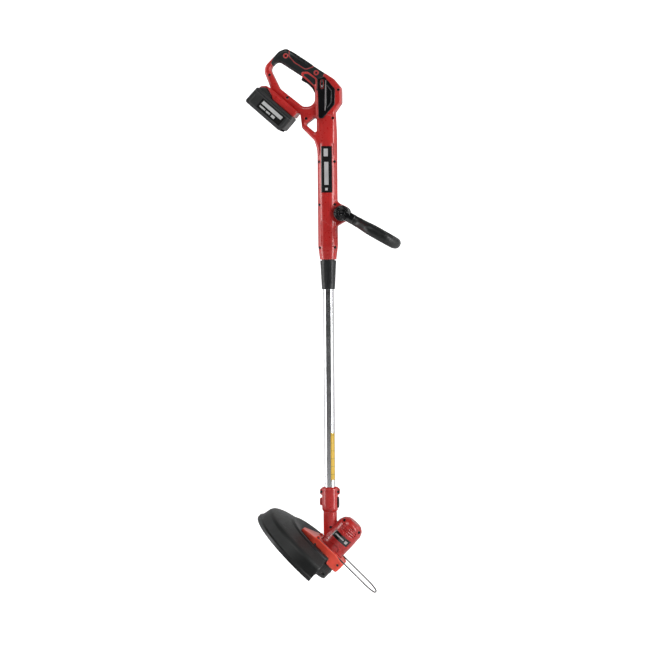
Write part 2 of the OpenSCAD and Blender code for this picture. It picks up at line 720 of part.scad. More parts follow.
// Section of the guard from the bracket out to the rim, [radius, height]
guard_top = [[46, -291.3], [84, -291.3], [92, -287.5], [109, -282], [114, -282.5], [118, -286.5],
    [158, -297.5], [165, -301], [169, -307]];
guard_section = concat(guard_top, [[guard_r - 4, -329], [guard_r, -331], [guard_r, rim_w],
    [guard_r - guard_t, rim_w], [guard_r - guard_t, -332.5], [guard_r - 4 - guard_t, -330.5]],
    [for (i = [len(guard_top) - 1 : -1 : 0])
        guard_top[i] + [i > 6 ? -guard_t : i > 5 ? -1.5 : 0, i > 7 ? 0.6 : -guard_t]]);
// Wall across the guard near each end of the sweep, [radius, height]
rib_inset = 1;
rib_section = [[126, -330], [126, -290], [158, -298.8], [163.9, -301.9], [167.7, -307.5], [172.5, -329],
    [172.8, -330]];

module guard() color(dark) head_frame() difference() {
    union() {
        rotate([0, 0, 180 - guard_sweep / 2])
            rotate_extrude(angle = guard_sweep, $fn = 96) polygon(guard_section);
        translate([0, 0, -293.9]) linear_extrude(2.6) polygon(rounded(shrink(bracket_hollow, 0.4)));
        translate([0, 0, -293.9]) linear_extrude(2.6) intersection() {
            polygon(rounded(shrink(bracket_plan, 0.5)));
            translate([-100, -60]) square([112, 120]);
        }
        intersection() {
            for (p = guard_screw_points, s = [-1, 1])
                block(p[0] - 4, p[0] + 4, s > 0 ? 33 : -41, s > 0 ? 41 : -33, -292, -285.3);
            translate([0, 0, -300]) linear_extrude(20) polygon(rounded(shrink(bracket_hollow, 0.3)));
        }
        guard_rib(-1);
        guard_rib(1);
    }
    translate([0, 0, -300]) cylinder(r = 20, h = 20);
    guard_screw_room();
    cutter_frame() cutter_screw_room(1.3 + fit_gap, -10, 10);
}

module guard_rib(side) rotate([0, 0, 180 + side * guard_sweep / 2])
    translate([0, side > 0 ? -rib_inset : 3 + rib_inset, 0])
        rotate([90, 0, 0]) linear_extrude(3) polygon(rib_section);

// Screws that hold the cutter, along the guard's front edge
module cutter_screw_room(r, x0, x1) for (x = [146, 160])
    translate([x, x1, -322]) rotate([90, 0, 0]) cylinder(r = r, h = x1 - x0, $fn = 24);

module cutter_frame() rotate([0, 0, 180 + guard_sweep / 2]) children();

module cutter_blade() color(steel) head_frame() cutter_frame() difference() {
    block(138, 165, -0.9, 0.5, -337, -312);
    block(130, 146, -1, 3, -350, -330);
    cutter_screw_room(1.4, -10, 10);
}

wire_reach = 185;
wire_y = 37;
wire_bend = 30;
wire_foot = 5;

module wire_arc(r, from) rotate([0, 0, from])
    rotate_extrude(angle = 90) translate([r, 0]) circle(r = wire_r, $fn = 24);

module wire_run(x0, x1, y) translate([x0, y, 0])
    rotate([0, 90, 0]) cylinder(r = wire_r, h = x1 - x0, $fn = 24);

module wire_guide() color(steel) head_frame() wire_frame() {
    for (s = [-1, 1]) {
        rod(0, 0, s > 0 ? 26 : -wire_y + wire_foot, s > 0 ? wire_y - wire_foot : -26, wire_r);
        translate([wire_foot, s * (wire_y - wire_foot), 0]) wire_arc(wire_foot, s > 0 ? 90 : 180);
        wire_run(wire_foot, wire_reach - wire_bend, s * wire_y);
        translate([wire_reach - wire_bend, s * (wire_y - wire_bend), 0]) wire_arc(wire_bend, s > 0 ? 0 : -90);
    }
    rod(wire_reach, 0, -wire_y + wire_bend, wire_y - wire_bend, wire_r);
}

// ---- Spool head -----------------------------------------------------------

module eyelet_holes(r) for (s = [-1, 1]) translate([s * (spool_r - 6), 0, -320])
    rotate([0, s * 90, 0]) cylinder(r = r, h = 12, $fn = 32);

module spool_housing() color(dark) head_frame() difference() {
    union() {
        translate([0, 0, -337]) cylinder(r = spool_r, h = 30);
        translate([0, 0, -307]) cylinder(r1 = spool_r, r2 = spool_r - 3, h = 2);
        translate([0, 0, -306]) cylinder(r = 8, h = 17);
    }
    translate([0, 0, -340]) cylinder(r = spool_r - 2.2, h = 32.5);
    translate([0, 0, -320]) cylinder(r = 2.5, h = 60);
    eyelet_holes(3.5 + fit_gap);
    for (a = [45 : 90 : 315]) rotate([0, 0, a]) block(spool_r - 4, spool_r + 3, -6, 6, -333, -329);
}

module spool_cap() color(dark) head_frame() {
    difference() {
        union() {
            translate([0, 0, -340.5]) cylinder(r1 = spool_r - 3, r2 = spool_r, h = 3.4);
            ring(spool_r - 2.5, spool_r - 4.3, -338, -333.5);
        }
        translate([0, 0, -342]) cylinder(r = 17.2, h = 10);
    }
}

module line_eyelets() color(steel) head_frame() difference() {
    eyelet_holes(3.5);
    eyelet_holes(1.8);
    translate([0, 0, -340]) cylinder(r = spool_r - 3.4, h = 40);
    difference() {
        block(-60, 60, -10, 10, -330, -310);
        translate([0, 0, -340]) cylinder(r = spool_r + 1, h = 40);
    }
}

module spool_reel() color(dark) head_frame() difference() {
    union() {
        ring(30.5, 10, -310.5, -308.5);
        ring(30.5, 10, -331, -329);
        ring(14.5, 10, -331, -308.5);
    }
}

module cutting_line() color(line_yellow) head_frame() ring(27, 14.52, -328.9, -310.6);

module bump_knob() color(black) head_frame() {
    translate([0, 0, -349.5]) cylinder(r1 = 13, r2 = 16.7, h = 7);
    translate([0, 0, -342.5]) cylinder(r = 16.7, h = 7);
    ring(9.4, 5, -336, -322);
}

module feed_spring() color(steel) head_frame() for (i = [0 : 3]) translate([0, 0, -320.5 + 2.4 * i])
    rotate_extrude() translate([7.2, 0]) circle(r = 0.6, $fn = 16);

handle_shell_right();
handle_shell_left();
grip_cover_right();
grip_cover_left();
grip_pad();
side_panel_right();
side_panel_left();
label_plate_right();
label_plate_left();
handle_screws();
trigger();
trigger_pin();
trigger_switch();
trigger_spring();
lock_off_button();
control_board();
terminal_block();
collet();
lock_collar();
coiled_lead();
aux_bolt();
aux_loop();
aux_grip();
aux_lock_button();
battery_case();
battery_cover();
battery_cells();
battery_board();
battery_label_right();
battery_label_left();
battery_screws();
battery_latch();
shaft_tube();
tube_end_ring();
motor_lead();
warning_strip();
coupling_shell_right();
coupling_shell_left();
coupling_screws();
rotation_button();
swivel_spigot();
motor_housing_right();
motor_housing_left();
housing_screws();
motor_label();
motor_can();
motor_bearing();
drive_shaft();
guard_bracket();
guard();
guard_screws();
cutter_blade();
wire_guide();
spool_housing();
spool_cap();
line_eyelets();
spool_reel();
cutting_line();
bump_knob();
feed_spring();
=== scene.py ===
"""Looks of the string trimmer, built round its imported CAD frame.

Lengths are in millimetres until a mesh is made; a piece's mesh is in metres, in the frame's axes:
+Z up the tube, +X forward, and the user's right side, which the camera sees, is -Y.
Most mouldings are modelled as distance functions, which give blended, rounded surfaces.
"""

import math
from functools import partial

import bpy
import numpy as np
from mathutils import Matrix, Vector


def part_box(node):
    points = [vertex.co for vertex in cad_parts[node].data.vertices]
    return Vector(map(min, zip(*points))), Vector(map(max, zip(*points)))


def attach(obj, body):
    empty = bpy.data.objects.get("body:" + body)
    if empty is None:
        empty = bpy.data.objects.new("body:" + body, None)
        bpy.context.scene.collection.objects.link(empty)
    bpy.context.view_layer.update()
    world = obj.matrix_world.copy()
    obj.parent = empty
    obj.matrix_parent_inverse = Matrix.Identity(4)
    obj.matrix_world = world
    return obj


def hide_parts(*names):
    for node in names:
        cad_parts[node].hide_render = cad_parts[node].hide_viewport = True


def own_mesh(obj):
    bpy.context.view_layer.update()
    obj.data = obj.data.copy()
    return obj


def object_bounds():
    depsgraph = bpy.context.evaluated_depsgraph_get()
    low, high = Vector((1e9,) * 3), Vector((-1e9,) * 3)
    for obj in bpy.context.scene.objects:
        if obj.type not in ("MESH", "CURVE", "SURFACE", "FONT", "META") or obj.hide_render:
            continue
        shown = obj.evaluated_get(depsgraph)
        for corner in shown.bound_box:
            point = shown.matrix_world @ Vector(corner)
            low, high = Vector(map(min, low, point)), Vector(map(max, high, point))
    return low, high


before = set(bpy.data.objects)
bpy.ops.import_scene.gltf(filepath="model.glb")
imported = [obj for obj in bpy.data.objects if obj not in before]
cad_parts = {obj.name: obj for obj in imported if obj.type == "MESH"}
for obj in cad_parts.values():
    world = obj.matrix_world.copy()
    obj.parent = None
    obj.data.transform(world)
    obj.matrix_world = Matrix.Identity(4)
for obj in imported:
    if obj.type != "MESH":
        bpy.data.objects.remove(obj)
cad_low, cad_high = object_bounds()

MM = 0.001
CELL_SCALE = 1.0


# ---- Distance functions, in mm ----


def soft_min(a, b, k):
    h = np.clip(0.5 + 0.5 * (b - a) / k, 0, 1)
    return b + (a - b) * h - k * h * (1 - h)


def soft_max(a, b, k):
    return -soft_min(-a, -b, k)


def union(*parts):
    return np.minimum.reduce(parts)


def common(*parts):
    return np.maximum.reduce(parts)


def rounded(corners, step=math.radians(10)):
    """Points of an outline given as anticlockwise corners (u, v) or (u, v, radius)."""
    points = []
    count = len(corners)
    for i, corner in enumerate(corners):
        u, v, r = (*corner, 0)[:3]
        here = np.array([u, v], float)
        back = np.array(corners[i - 1][:2], float) - here
        on = np.array(corners[(i + 1) % count][:2], float) - here
        back /= np.linalg.norm(back)
        on /= np.linalg.norm(on)
        half = math.acos(max(-1.0, min(1.0, back @ on))) / 2
        if r < 0.05 or half > math.radians(89):
            points.append(here)
            continue
        middle = here + (back + on) / np.linalg.norm(back + on) * r / math.sin(half)
        start = here + back * r / math.tan(half) - middle
        end = here + on * r / math.tan(half) - middle
        a0 = math.atan2(start[1], start[0])
        sweep = (math.atan2(end[1], end[0]) - a0 + math.pi) % (2 * math.pi) - math.pi
        for j in range(max(1, math.ceil(abs(sweep) / step)) + 1):
            a = a0 + sweep * j / max(1, math.ceil(abs(sweep) / step))
            points.append(middle + r * np.array([math.cos(a), math.sin(a)]))
    return np.array(points)


class Outline:
    """Signed distance to a closed outline, negative inside, looked up on a fine grid."""

    def __init__(self, corners, margin=12, step=0.5):
        points = rounded(corners)
        self.step = step
        self.low = points.min(0) - margin
        self.count = np.ceil((points.max(0) + margin - self.low) / step).astype(int) + 2
        u, v = np.meshgrid(*(self.low[i] + step * np.arange(self.count[i]) for i in (0, 1)), indexing="ij")
        nearest = np.full(u.shape, 1e12)
        inside = np.zeros(u.shape, bool)
        for a, b in zip(points, np.roll(points, -1, 0)):
            e = b - a
            if e @ e < 1e-9:
                continue
            du, dv = u - a[0], v - a[1]
            t = np.clip((du * e[0] + dv * e[1]) / (e @ e), 0, 1)
            nearest = np.minimum(nearest, (du - t * e[0]) ** 2 + (dv - t * e[1]) ** 2)
            if e[1] != 0:
                crosses = (a[1] <= v) != (b[1] <= v)
                inside ^= crosses & (du < dv * e[0] / e[1])
        self.table = np.where(inside, -1, 1) * np.sqrt(nearest)

    def __call__(self, u, v):
        s = (u - self.low[0]) / self.step
        t = (v - self.low[1]) / self.step
        s0 = np.clip(s, 0, self.count[0] - 1.001)
        t0 = np.clip(t, 0, self.count[1] - 1.001)
        i, j = s0.astype(int), t0.astype(int)
        f, g = s0 - i, t0 - j
        k = self.table
        under = k[i, j] * (1 - f) + k[i + 1, j] * f
        over = k[i, j + 1] * (1 - f) + k[i + 1, j + 1] * f
        return under * (1 - g) + over * g + np.hypot(s - s0, t - t0) * self.step


def slab(d, across, half, r):
    """An outline's distance d extruded to +-half, its edges rounded to r."""
    u = d + r
    v = np.abs(across) - half + r
    return np.minimum(np.maximum(u, v), 0) + np.hypot(np.maximum(u, 0), np.maximum(v, 0)) - r


def band(value, low, high):
    """Distance to low <= value <= high."""
    return np.abs(value - (low + high) / 2) - (high - low) / 2


def box(x, y, z, x0, x1, y0, y1, z0, z1):
    return common(band(x, x0, x1), band(y, y0, y1), band(z, z0, z1))


def disc(u, v, cu, cv, r):
    return np.hypot(u - cu, v - cv) - r


def tilted(x, z, origin, degrees):
    """Coordinates in a frame at origin (x, z), turned about Y."""
    a = math.radians(degrees)
    dx, dz = x - origin[0], z - origin[1]
    return dx * math.cos(a) - dz * math.sin(a), dx * math.sin(a) + dz * math.cos(a)


# ---- From a distance function to a mesh ----

BLOCK = 8
CORNERS = np.array([(i, j, k) for i in (0, 1) for j in (0, 1) for k in (0, 1)])
EDGES = [(a, b) for a in range(8) for b in range(a) if np.abs(CORNERS[a] - CORNERS[b]).sum() == 1]
STENCIL = np.array([(1, -1, -1), (-1, -1, 1), (-1, 1, -1), (1, 1, 1)], float)


def sampled(distance, low, count, cell):
    """The distance at every grid point near the surface, and only its sign elsewhere."""
    blocks = count // BLOCK
    centre = [low[i] + cell * (BLOCK * np.arange(blocks[i]) + (BLOCK - 1) / 2) for i in range(3)]
    coarse = distance(*np.meshgrid(*centre, indexing="ij"))
    values = np.where(coarse < 0, -1e3, 1e3).astype(np.float32)
    for axis in range(3):
        values = np.repeat(values, BLOCK, axis)
    offsets = np.stack(np.meshgrid(*[np.arange(BLOCK)] * 3, indexing="ij"), -1).reshape(-1, 3)
    near = np.argwhere(np.abs(coarse) < 1.15 * BLOCK * cell)
    for part in np.array_split(near, max(1, len(near) // 3000)):
        index = (part[:, None, :] * BLOCK + offsets).reshape(-1, 3)
        x, y, z = (low[i] + cell * index[:, i] for i in range(3))
        values[index[:, 0], index[:, 1], index[:, 2]] = distance(x, y, z)
    return values


def surface(distance, low, high, cell):
    """Vertices and quads of the surface where distance is zero: surface nets, then two steps onto it."""
    cell *= CELL_SCALE
    low = np.array(low, float) - 2 * cell
    count = (np.ceil((np.array(high) + 2 * cell - low) / cell / BLOCK).astype(int) + 1) * BLOCK
    values = sampled(distance, low, count, cell)
    inside = values < 0
    shifted = (inside[i : i - 1 or None, j : j - 1 or None, k : k - 1 or None] for i, j, k in CORNERS)
    filled = sum(part.astype(np.uint8) for part in shifted)
    cells = np.argwhere((filled > 0) & (filled < 8))
    at = [values[tuple((cells + c).T)] for c in CORNERS]
    total, hits = np.zeros((len(cells), 3)), np.zeros(len(cells))
    for a, b in EDGES:
        crossed = (at[a] < 0) != (at[b] < 0)
        t = np.where(crossed, at[a] / np.where(crossed, at[a] - at[b], 1), 0)
        total += crossed[:, None] * (CORNERS[a] + t[:, None] * (CORNERS[b] - CORNERS[a]))
        hits += crossed
    vertices = low + cell * (cells + total / hits[:, None])
    number = np.full(count, -1, np.int64)
    number[tuple(cells.T)] = np.arange(len(cells))
    quads = []
    for axis in range(3):
        one, two = (axis + 1) % 3, (axis + 2) % 3
        step = np.eye(3, dtype=int)
        first = np.take(inside, range(count[axis] - 1), axis)
        second = np.take(inside, range(1, count[axis]), axis)
        edge = np.argwhere(first != second)
        edge = edge[(edge[:, one] > 0) & (edge[:, two] > 0)]
        ring = [edge - step[one] - step[two], edge - step[two], edge, edge - step[one]]
        quad = np.stack([number[tuple(r.T)] for r in ring], 1)
        outward = first[tuple(edge.T)]
        quads.append(np.where(outward[:, None], quad, quad[:, ::-1]))
    quads = np.concatenate(quads)
    quads = quads[(quads >= 0).all(1)]
    reach = 0.3 * cell
    for _ in range(2):
        around = [distance(*(vertices + reach * s).T) for s in STENCIL]
        normal = sum(d[:, None] * s for d, s in zip(around, STENCIL))
        normal /= np.maximum(np.linalg.norm(normal, axis=1), 1e-9)[:, None]
        away = np.clip(sum(around) / 4, -0.5 * cell, 0.5 * cell)
        vertices = vertices - away[:, None] * normal
    return vertices, quads


def in_scene(name, data):
    obj = bpy.data.objects.new(name, data)
    bpy.context.scene.collection.objects.link(obj)
    return obj


def quad_mesh(name, vertices, faces):
    """An object from vertices in mm and quads."""
    mesh = bpy.data.meshes.new(name)
    mesh.vertices.add(len(vertices))
    mesh.vertices.foreach_set("co", (vertices * MM).astype(np.float32).ravel())
    mesh.loops.add(faces.size)
    mesh.loops.foreach_set("vertex_index", faces.astype(np.int32).ravel())
    mesh.polygons.add(len(faces))
    mesh.polygons.foreach_set("loop_start", np.arange(0, faces.size, 4, dtype=np.int32))
    mesh.update(calc_edges=True)
    mesh.validate()
    mesh.shade_smooth()
    return in_scene(name, mesh)


def plain_mesh(name, vertices, faces, smooth=True):
    """An object from vertices in mm and a list of faces with any number of corners."""
    mesh = bpy.data.meshes.new(name)
    mesh.from_pydata((vertices * MM).tolist(), [], faces)
    if smooth:
        mesh.shade_smooth()
    return in_scene(name, mesh)


def finished(name, obj, body, material):
    """Gives a new piece its material and body. One named after a CAD node stands for that node."""
    obj.data.materials.append(material)
    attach(obj, body)
    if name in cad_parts:
        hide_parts(name)
    return obj


def plate(name, place, patch, thick, parts, body, material):
    """Thin plate over a patch (u0, u1, v0, v1): place(u, v, lift) gives its points, lifted by 0 to thick."""
    u, v = np.meshgrid(np.linspace(*patch[:2], parts + 1), patch[2:], indexing="ij")
    sides = [np.stack(place(u.ravel(), v.ravel(), np.full(u.size, lift)), 1) for lift in (0.0, thick)]
    n, m = u.shape
    at = np.arange(n * m).reshape(n, m)
    quads = np.stack([at[:-1, :-1], at[1:, :-1], at[1:, 1:], at[:-1, 1:]], -1).reshape(-1, 4)
    rim = np.concatenate([at[:-1, 0], at[-1, :-1], at[:0:-1, -1], at[0, :0:-1]])
    after = np.roll(rim, -1)
    wall = np.stack([rim, after, after + n * m, rim + n * m], -1)
    faces = np.concatenate([quads[:, ::-1], quads + n * m, wall]).tolist()
    return finished(name, plain_mesh(name, np.concatenate(sides), faces, smooth=False), body, material)


def node_box(node, low_room=1.5, high_room=1.5):
    """A CAD node's box in mm, with room round it."""
    low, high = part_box(node)
    return np.array(low) / MM - low_room, np.array(high) / MM + high_room


def moulding(name, distance, cell, body, material, room=None):
    """A piece from a distance function, sampled in room, or in the box of the CAD node of its name."""
    vertices, quads = surface(distance, *(room or node_box(name)), cell)
    return finished(name, quad_mesh(name, vertices, quads), body, material)


# ---- Materials ----


def new_material(name):
    material = bpy.data.materials.new(name)
    material.use_nodes = True
    nodes, links = material.node_tree.nodes, material.node_tree.links
    shader = nodes["Principled BSDF"]
    coordinates = nodes.new("ShaderNodeTexCoord")
    return material, nodes, links, shader, coordinates.outputs["Object"]


def noise(nodes, links, vector, size_mm, detail=3, stretch=None):
    """A noise texture whose features are about size_mm across."""
    texture = nodes.new("ShaderNodeTexNoise")
    texture.inputs["Scale"].default_value = 1 / (size_mm * MM)
    texture.inputs["Detail"].default_value = detail
    if stretch:
        mapping = nodes.new("ShaderNodeMapping")
        mapping.inputs["Scale"].default_value = stretch
        links.new(vector, mapping.inputs["Vector"])
        vector = mapping.outputs["Vector"]
    links.new(vector, texture.inputs["Vector"])
    return texture.outputs["Fac"]


def ranged(nodes, links, value, low, high, from_low=0.3, from_high=0.7):
    node = nodes.new("ShaderNodeMapRange")
    node.inputs["From Min"].default_value = from_low
    node.inputs["From Max"].default_value = from_high
    node.inputs["To Min"].default_value = low
    node.inputs["To Max"].default_value = high
    links.new(value, node.inputs["Value"])
    return node.outputs["Result"]


def mixed(nodes, links, factor, a, b):
    """Colour a where the factor is 0, and b where it is 1. a may be a socket."""
    node = nodes.new("ShaderNodeMix")
    node.data_type = "RGBA"
    if isinstance(a, bpy.types.NodeSocket):
        links.new(a, node.inputs[6])
    else:
        node.inputs[6].default_value = (*a, 1)
    node.inputs[7].default_value = (*b, 1)
    links.new(factor, node.inputs[0])
    return node.outputs[2]


def bumped(nodes, links, shader, height, depth_mm):
    node = nodes.new("ShaderNodeBump")
    node.inputs["Distance"].default_value = depth_mm * MM
    node.inputs["Strength"].default_value = 1
    links.new(height, node.inputs["Height"])
    links.new(node.outputs["Normal"], shader.inputs["Normal"])


def plastic(name, colour, roughness, grain=0.45, depth=0.02, coat=0.0, edge_wear_and_highlight=0.25):
    """Moulded plastic: fine spark-eroded grain, slow colour drift, and paler convex edges that are partly
    real edge wear and partly a painted highlight.
    """
    material, nodes, links, shader, where = new_material(name)
    drift = noise(nodes, links, where, 38, 2)
    dark, light = ([min(1, c * k) for c in colour] for k in (0.88, 1.12))
    body = mixed(nodes, links, ranged(nodes, links, drift, 0, 1), dark, light)
    # Convex edges, found by pointiness, are lightened: partly edge wear, partly a painted highlight along the
    # edges.
    edge = nodes.new("ShaderNodeNewGeometry").outputs["Pointiness"]
    wear_and_highlight_mask = ranged(nodes, links, edge, 0, edge_wear_and_highlight, 0.51, 0.58)
    wear_and_highlight_colour = [min(1, c * 1.3 + 0.16) for c in colour]
    links.new(mixed(nodes, links, wear_and_highlight_mask, body, wear_and_highlight_colour), shader.inputs["Base Color"])
    patches = noise(nodes, links, where, 6, 4)
    links.new(ranged(nodes, links, patches, roughness - 0.05, roughness + 0.07), shader.inputs["Roughness"])
    shader.inputs["Coat Weight"].default_value = coat
    shader.inputs["Coat Roughness"].default_value = 0.08
    bumped(nodes, links, shader, noise(nodes, links, where, grain, 2), depth)
    return material


def metal(name, colour, roughness, brush=(1, 1, 1), size=0.6, depth=0.004):
    """Metal with fine lines or grain, stretched by brush, and slightly uneven polish."""
    material, nodes, links, shader, where = new_material(name)
    lines = noise(nodes, links, where, size, 5, brush)
    body = mixed(nodes, links, ranged(nodes, links, lines, 0, 1), [c * 0.92 for c in colour], colour)
    links.new(body, shader.inputs["Base Color"])
    shader.inputs["Metallic"].default_value = 1
    smudge = noise(nodes, links, where, 17, 4)
    links.new(ranged(nodes, links, smudge, roughness - 0.04, roughness + 0.06), shader.inputs["Roughness"])
    bumped(nodes, links, shader, lines, depth)
    return material


def yellow_film():
    """Printed vinyl film: yellow, with plain thin rules across it and no lettering."""
    material, nodes, links, shader, where = new_material("yellow_film")
    low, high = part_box("warning_strip")
    split = nodes.new("ShaderNodeSeparateXYZ")
    links.new(where, split.inputs[0])
    rule = split.outputs["Z"]
    for operation, number in (("PINGPONG", (high.z - low.z) / 12), ("LESS_THAN", 0.3 * MM)):
        step = nodes.new("ShaderNodeMath")
        step.operation = operation
        step.inputs[1].default_value = number
        links.new(rule, step.inputs[0])
        rule = step.outputs[0]
    body = mixed(nodes, links, rule, (0.78, 0.5, 0.045), (0.12, 0.09, 0.03))
    links.new(body, shader.inputs["Base Color"])
    links.new(ranged(nodes, links, noise(nodes, links, where, 5), 0.28, 0.4), shader.inputs["Roughness"])
    bumped(nodes, links, shader, noise(nodes, links, where, 1.4, 2), 0.006)
    return material


RED = plastic("red_plastic", (0.55, 0.024, 0.022), 0.3, depth=0.012, coat=0.4)
BRIGHT_RED = plastic("bright_red_plastic", (0.93, 0.08, 0.045), 0.33, depth=0.012, coat=0.2)
SOFT_BLACK = plastic("soft_black", (0.009, 0.011, 0.012), 0.4, grain=0.7, depth=0.05, edge_wear_and_highlight=0.12)
PAD_BLACK = plastic("pad_black", (0.011, 0.012, 0.013), 0.3, grain=0.9, depth=0.03, coat=0.3, edge_wear_and_highlight=0.1)
GLOSS_BLACK = plastic("gloss_black", (0.004, 0.004, 0.005), 0.16, depth=0.004, coat=0.8, edge_wear_and_highlight=0.08)
DARK_GREY = plastic("dark_grey_plastic", (0.03, 0.031, 0.031), 0.38, depth=0.03, edge_wear_and_highlight=0.3)
GUARD_GREY = plastic("guard_plastic", (0.011, 0.012, 0.012), 0.4, grain=0.8, depth=0.05, edge_wear_and_highlight=0.2)
GRIP_GREY = plastic("grip_foam", (0.008, 0.009, 0.009), 0.42, grain=0.5, depth=0.08, edge_wear_and_highlight=0.1)
TRIM_GREY = plastic("trim_grey", (0.05, 0.05, 0.052), 0.25, depth=0.01)
# Pale grey for the raised ridge on the side panels: a painted highlight along its facet.
RIDGE_HIGHLIGHT_GREY = plastic("painted_ridge_highlight", (0.22, 0.2, 0.205), 0.3, depth=0.008)
LABEL_FILM = plastic("label_film", (0.003, 0.003, 0.003), 0.2, grain=2.5, depth=0.006, coat=0.6, edge_wear_and_highlight=0.05)
ALUMINIUM = metal("aluminium_tube", (0.86, 0.87, 0.89), 0.2, brush=(1, 1, 0.03), size=0.5, depth=0.0015)
STEEL = metal("steel", (0.55, 0.56, 0.58), 0.27, size=0.9)
WIRE_STEEL = metal("wire_steel", (0.12, 0.12, 0.125), 0.5, brush=(0.05, 1, 1), size=0.7)
DARK_STEEL = metal("dark_steel", (0.1, 0.1, 0.105), 0.38, size=0.8)
PALE_PRINT = plastic("pale_print", (0.55, 0.55, 0.55), 0.35, grain=2.5, depth=0.004, edge_wear_and_highlight=0.05)
BOARD_GREEN = plastic("board_green", (0.012, 0.11, 0.045), 0.35, grain=1.2)
CELL_WRAP = plastic("cell_wrap", (0.03, 0.12, 0.42), 0.3)
NYLON = plastic("nylon_line", (0.5, 0.56, 0.06), 0.35)
YELLOW = yellow_film()

SIDES = ((-1, "right"), (1, "left"))


# ---- Handle ----

COLUMN_R = 23.5
LOOP_HALF = 18
HEAD_HALF = 22.3
COVER_T = 2.0
SEAM = 0.05
PACK_AT = (-77.2, 637.1)
PACK_TILT = 41.5
AUX_AT = (35, 411)
AUX_DROP = 30
BOLT_ROOM = 4.05
COLUMN_SCREW_MOUTH = 2.7
SCREW_ROOM = 3.3
LABEL_LOW, LABEL_HIGH = 460, 569

loop_out = Outline([(20, 550), (20, 650, 8), (35, 671, 9), (35, 706, 8), (17, 727.5, 12), (-94, 801.5, 14),
    (-112, 794.5, 20), (-150.5, 755, 24), (-131, 705, 3), (-62, 644, 4), (-58.5, 613, 8), (-30, 584, 14),
    (-22, 560, 10), (-20, 550)])
finger_hole = Outline([(-133, 754, 12), (-110.8, 707.5, 10), (-56.2, 663.5, 14), (-27.5, 663.5, 18),
    (-27.5, 708.3, 14), (-56, 733, 16), (-116, 772.5, 12)])
window = Outline([(-23.5, 641, 5), (-50.5, 621, 4), (-23.5, 598.5, 4)])
head_out = Outline([(-24, 640, 4), (18, 640), (20, 650, 8), (35, 671, 9), (35, 706, 8), (17, 727.5, 10),
    (-4, 741.5, 6), (-24, 724, 6)])
panel_out = Outline([(-18, 634, 4), (-8, 634, 6), (20.5, 666, 5), (22, 702, 5), (-4, 733, 4),
    (-20, 727, 4)])
chevron = Outline([(0, 655, 2), (12.5, 671, 3), (13.5, 698, 3), (0, 716, 2)])
column_side = Outline([(-30, 303), (19.5, 303, 1), (23, 331, 2), (COLUMN_R, 336, 2), (COLUMN_R, 600, 8),
    (20, 650), (-30, 650)])
foot_out = Outline([(-64, 0, 3), (0, 0, 3), (0, 16, 4), (-93, 16, 1), (-91, 12.2, 2), (-72, 5.5, 4)])
boss_out = Outline([(14, 376), (30, 386, 6), (48, 396, 12), (48, 426, 12), (30, 434, 6), (14, 448)])
cover_zone = Outline([(-119, 815), (-119, 790, 3), (-130, 767, 3), (-122, 750, 3), (-70, 700), (-18.5, 700),
    (-18.5, 727, 3), (-7, 732, 2), (-2.5, 744, 2), (-1, 815)])
trigger_zone = Outline([(-58.5, 735, 4), (-62, 712), (-29, 690), (-21, 705, 2), (-21, 728, 8),
    (-43, 745, 8), (-58, 744.5, 4)])
inlay_zone = Outline([(-53, 736, 1.5), (-41, 726, 2), (-30, 713.5, 2), (-25, 714.5, 2), (-25, 727, 5),
    (-42, 739.5, 4), (-52, 740, 2)])
pad_zone = Outline([(-86, 815), (-86, 782, 6), (-74, 768, 8), (-48, 751, 8), (-30, 757, 4), (-30, 815)])
slot_zone = Outline([(-64, 722), (-40, 700), (-30, 690), (-12, 690), (-12, 718), (-56, 748)])
lock_out = Outline([(-12.5, 704, 3.4), (-5.5, 704, 3.4), (-5.5, 725, 3.4), (-12.5, 725, 3.4)])
pocket = Outline([(-14, 334, 1), (16, 334, 1), (16, 374, 1), (-7, 394, 1), (-14, 394, 1)])

LOOP_SCREWS = [(-95, 783), (-23, 742), (-134, 739), (-92, 685), (-48, 635), (29, 701), (14.9, 635)]
COLUMN_SCREWS = [(-18, 533), (18, 533), (-18, 432), (18, 432), (-17.8, 331), (17.8, 331)]
RINGED_SCREWS = LOOP_SCREWS[:2]
LOOP_SCREW_Y, COLUMN_SCREW_Y = -13.5, -12.5


def handle_body(x, y, z):
    """The whole handle as one solid block, before anything is let into it."""
    loop = slab(common(loop_out(x, z), -finger_hole(x, z), -window(x, z)), y, LOOP_HALF, 8)
    column = column_side(np.hypot(x, y), z)
    body = soft_min(loop, column, 5)
    body = soft_min(body, slab(head_out(x, z), y, HEAD_HALF, 5), 2)
    s, t = tilted(x, z, PACK_AT, PACK_TILT)
    body = soft_min(body, slab(foot_out(s, t), y, 32, 3), 2.5)
    return soft_min(body, slab(boss_out(x, z), y, 13, 2), 3)


def cover_region(x, z):
    """Where the soft cover lies: the grip, less the bands of red round the pad, the inlay and two screws."""
    region = common(cover_zone(x, z), -trigger_zone(x, z), -(pad_zone(x, z) - 1.8))
    for u, v in RINGED_SCREWS:
        region = common(region, -disc(x, z, u, v, 6.2))
    return union(region, inlay_zone(x, z))


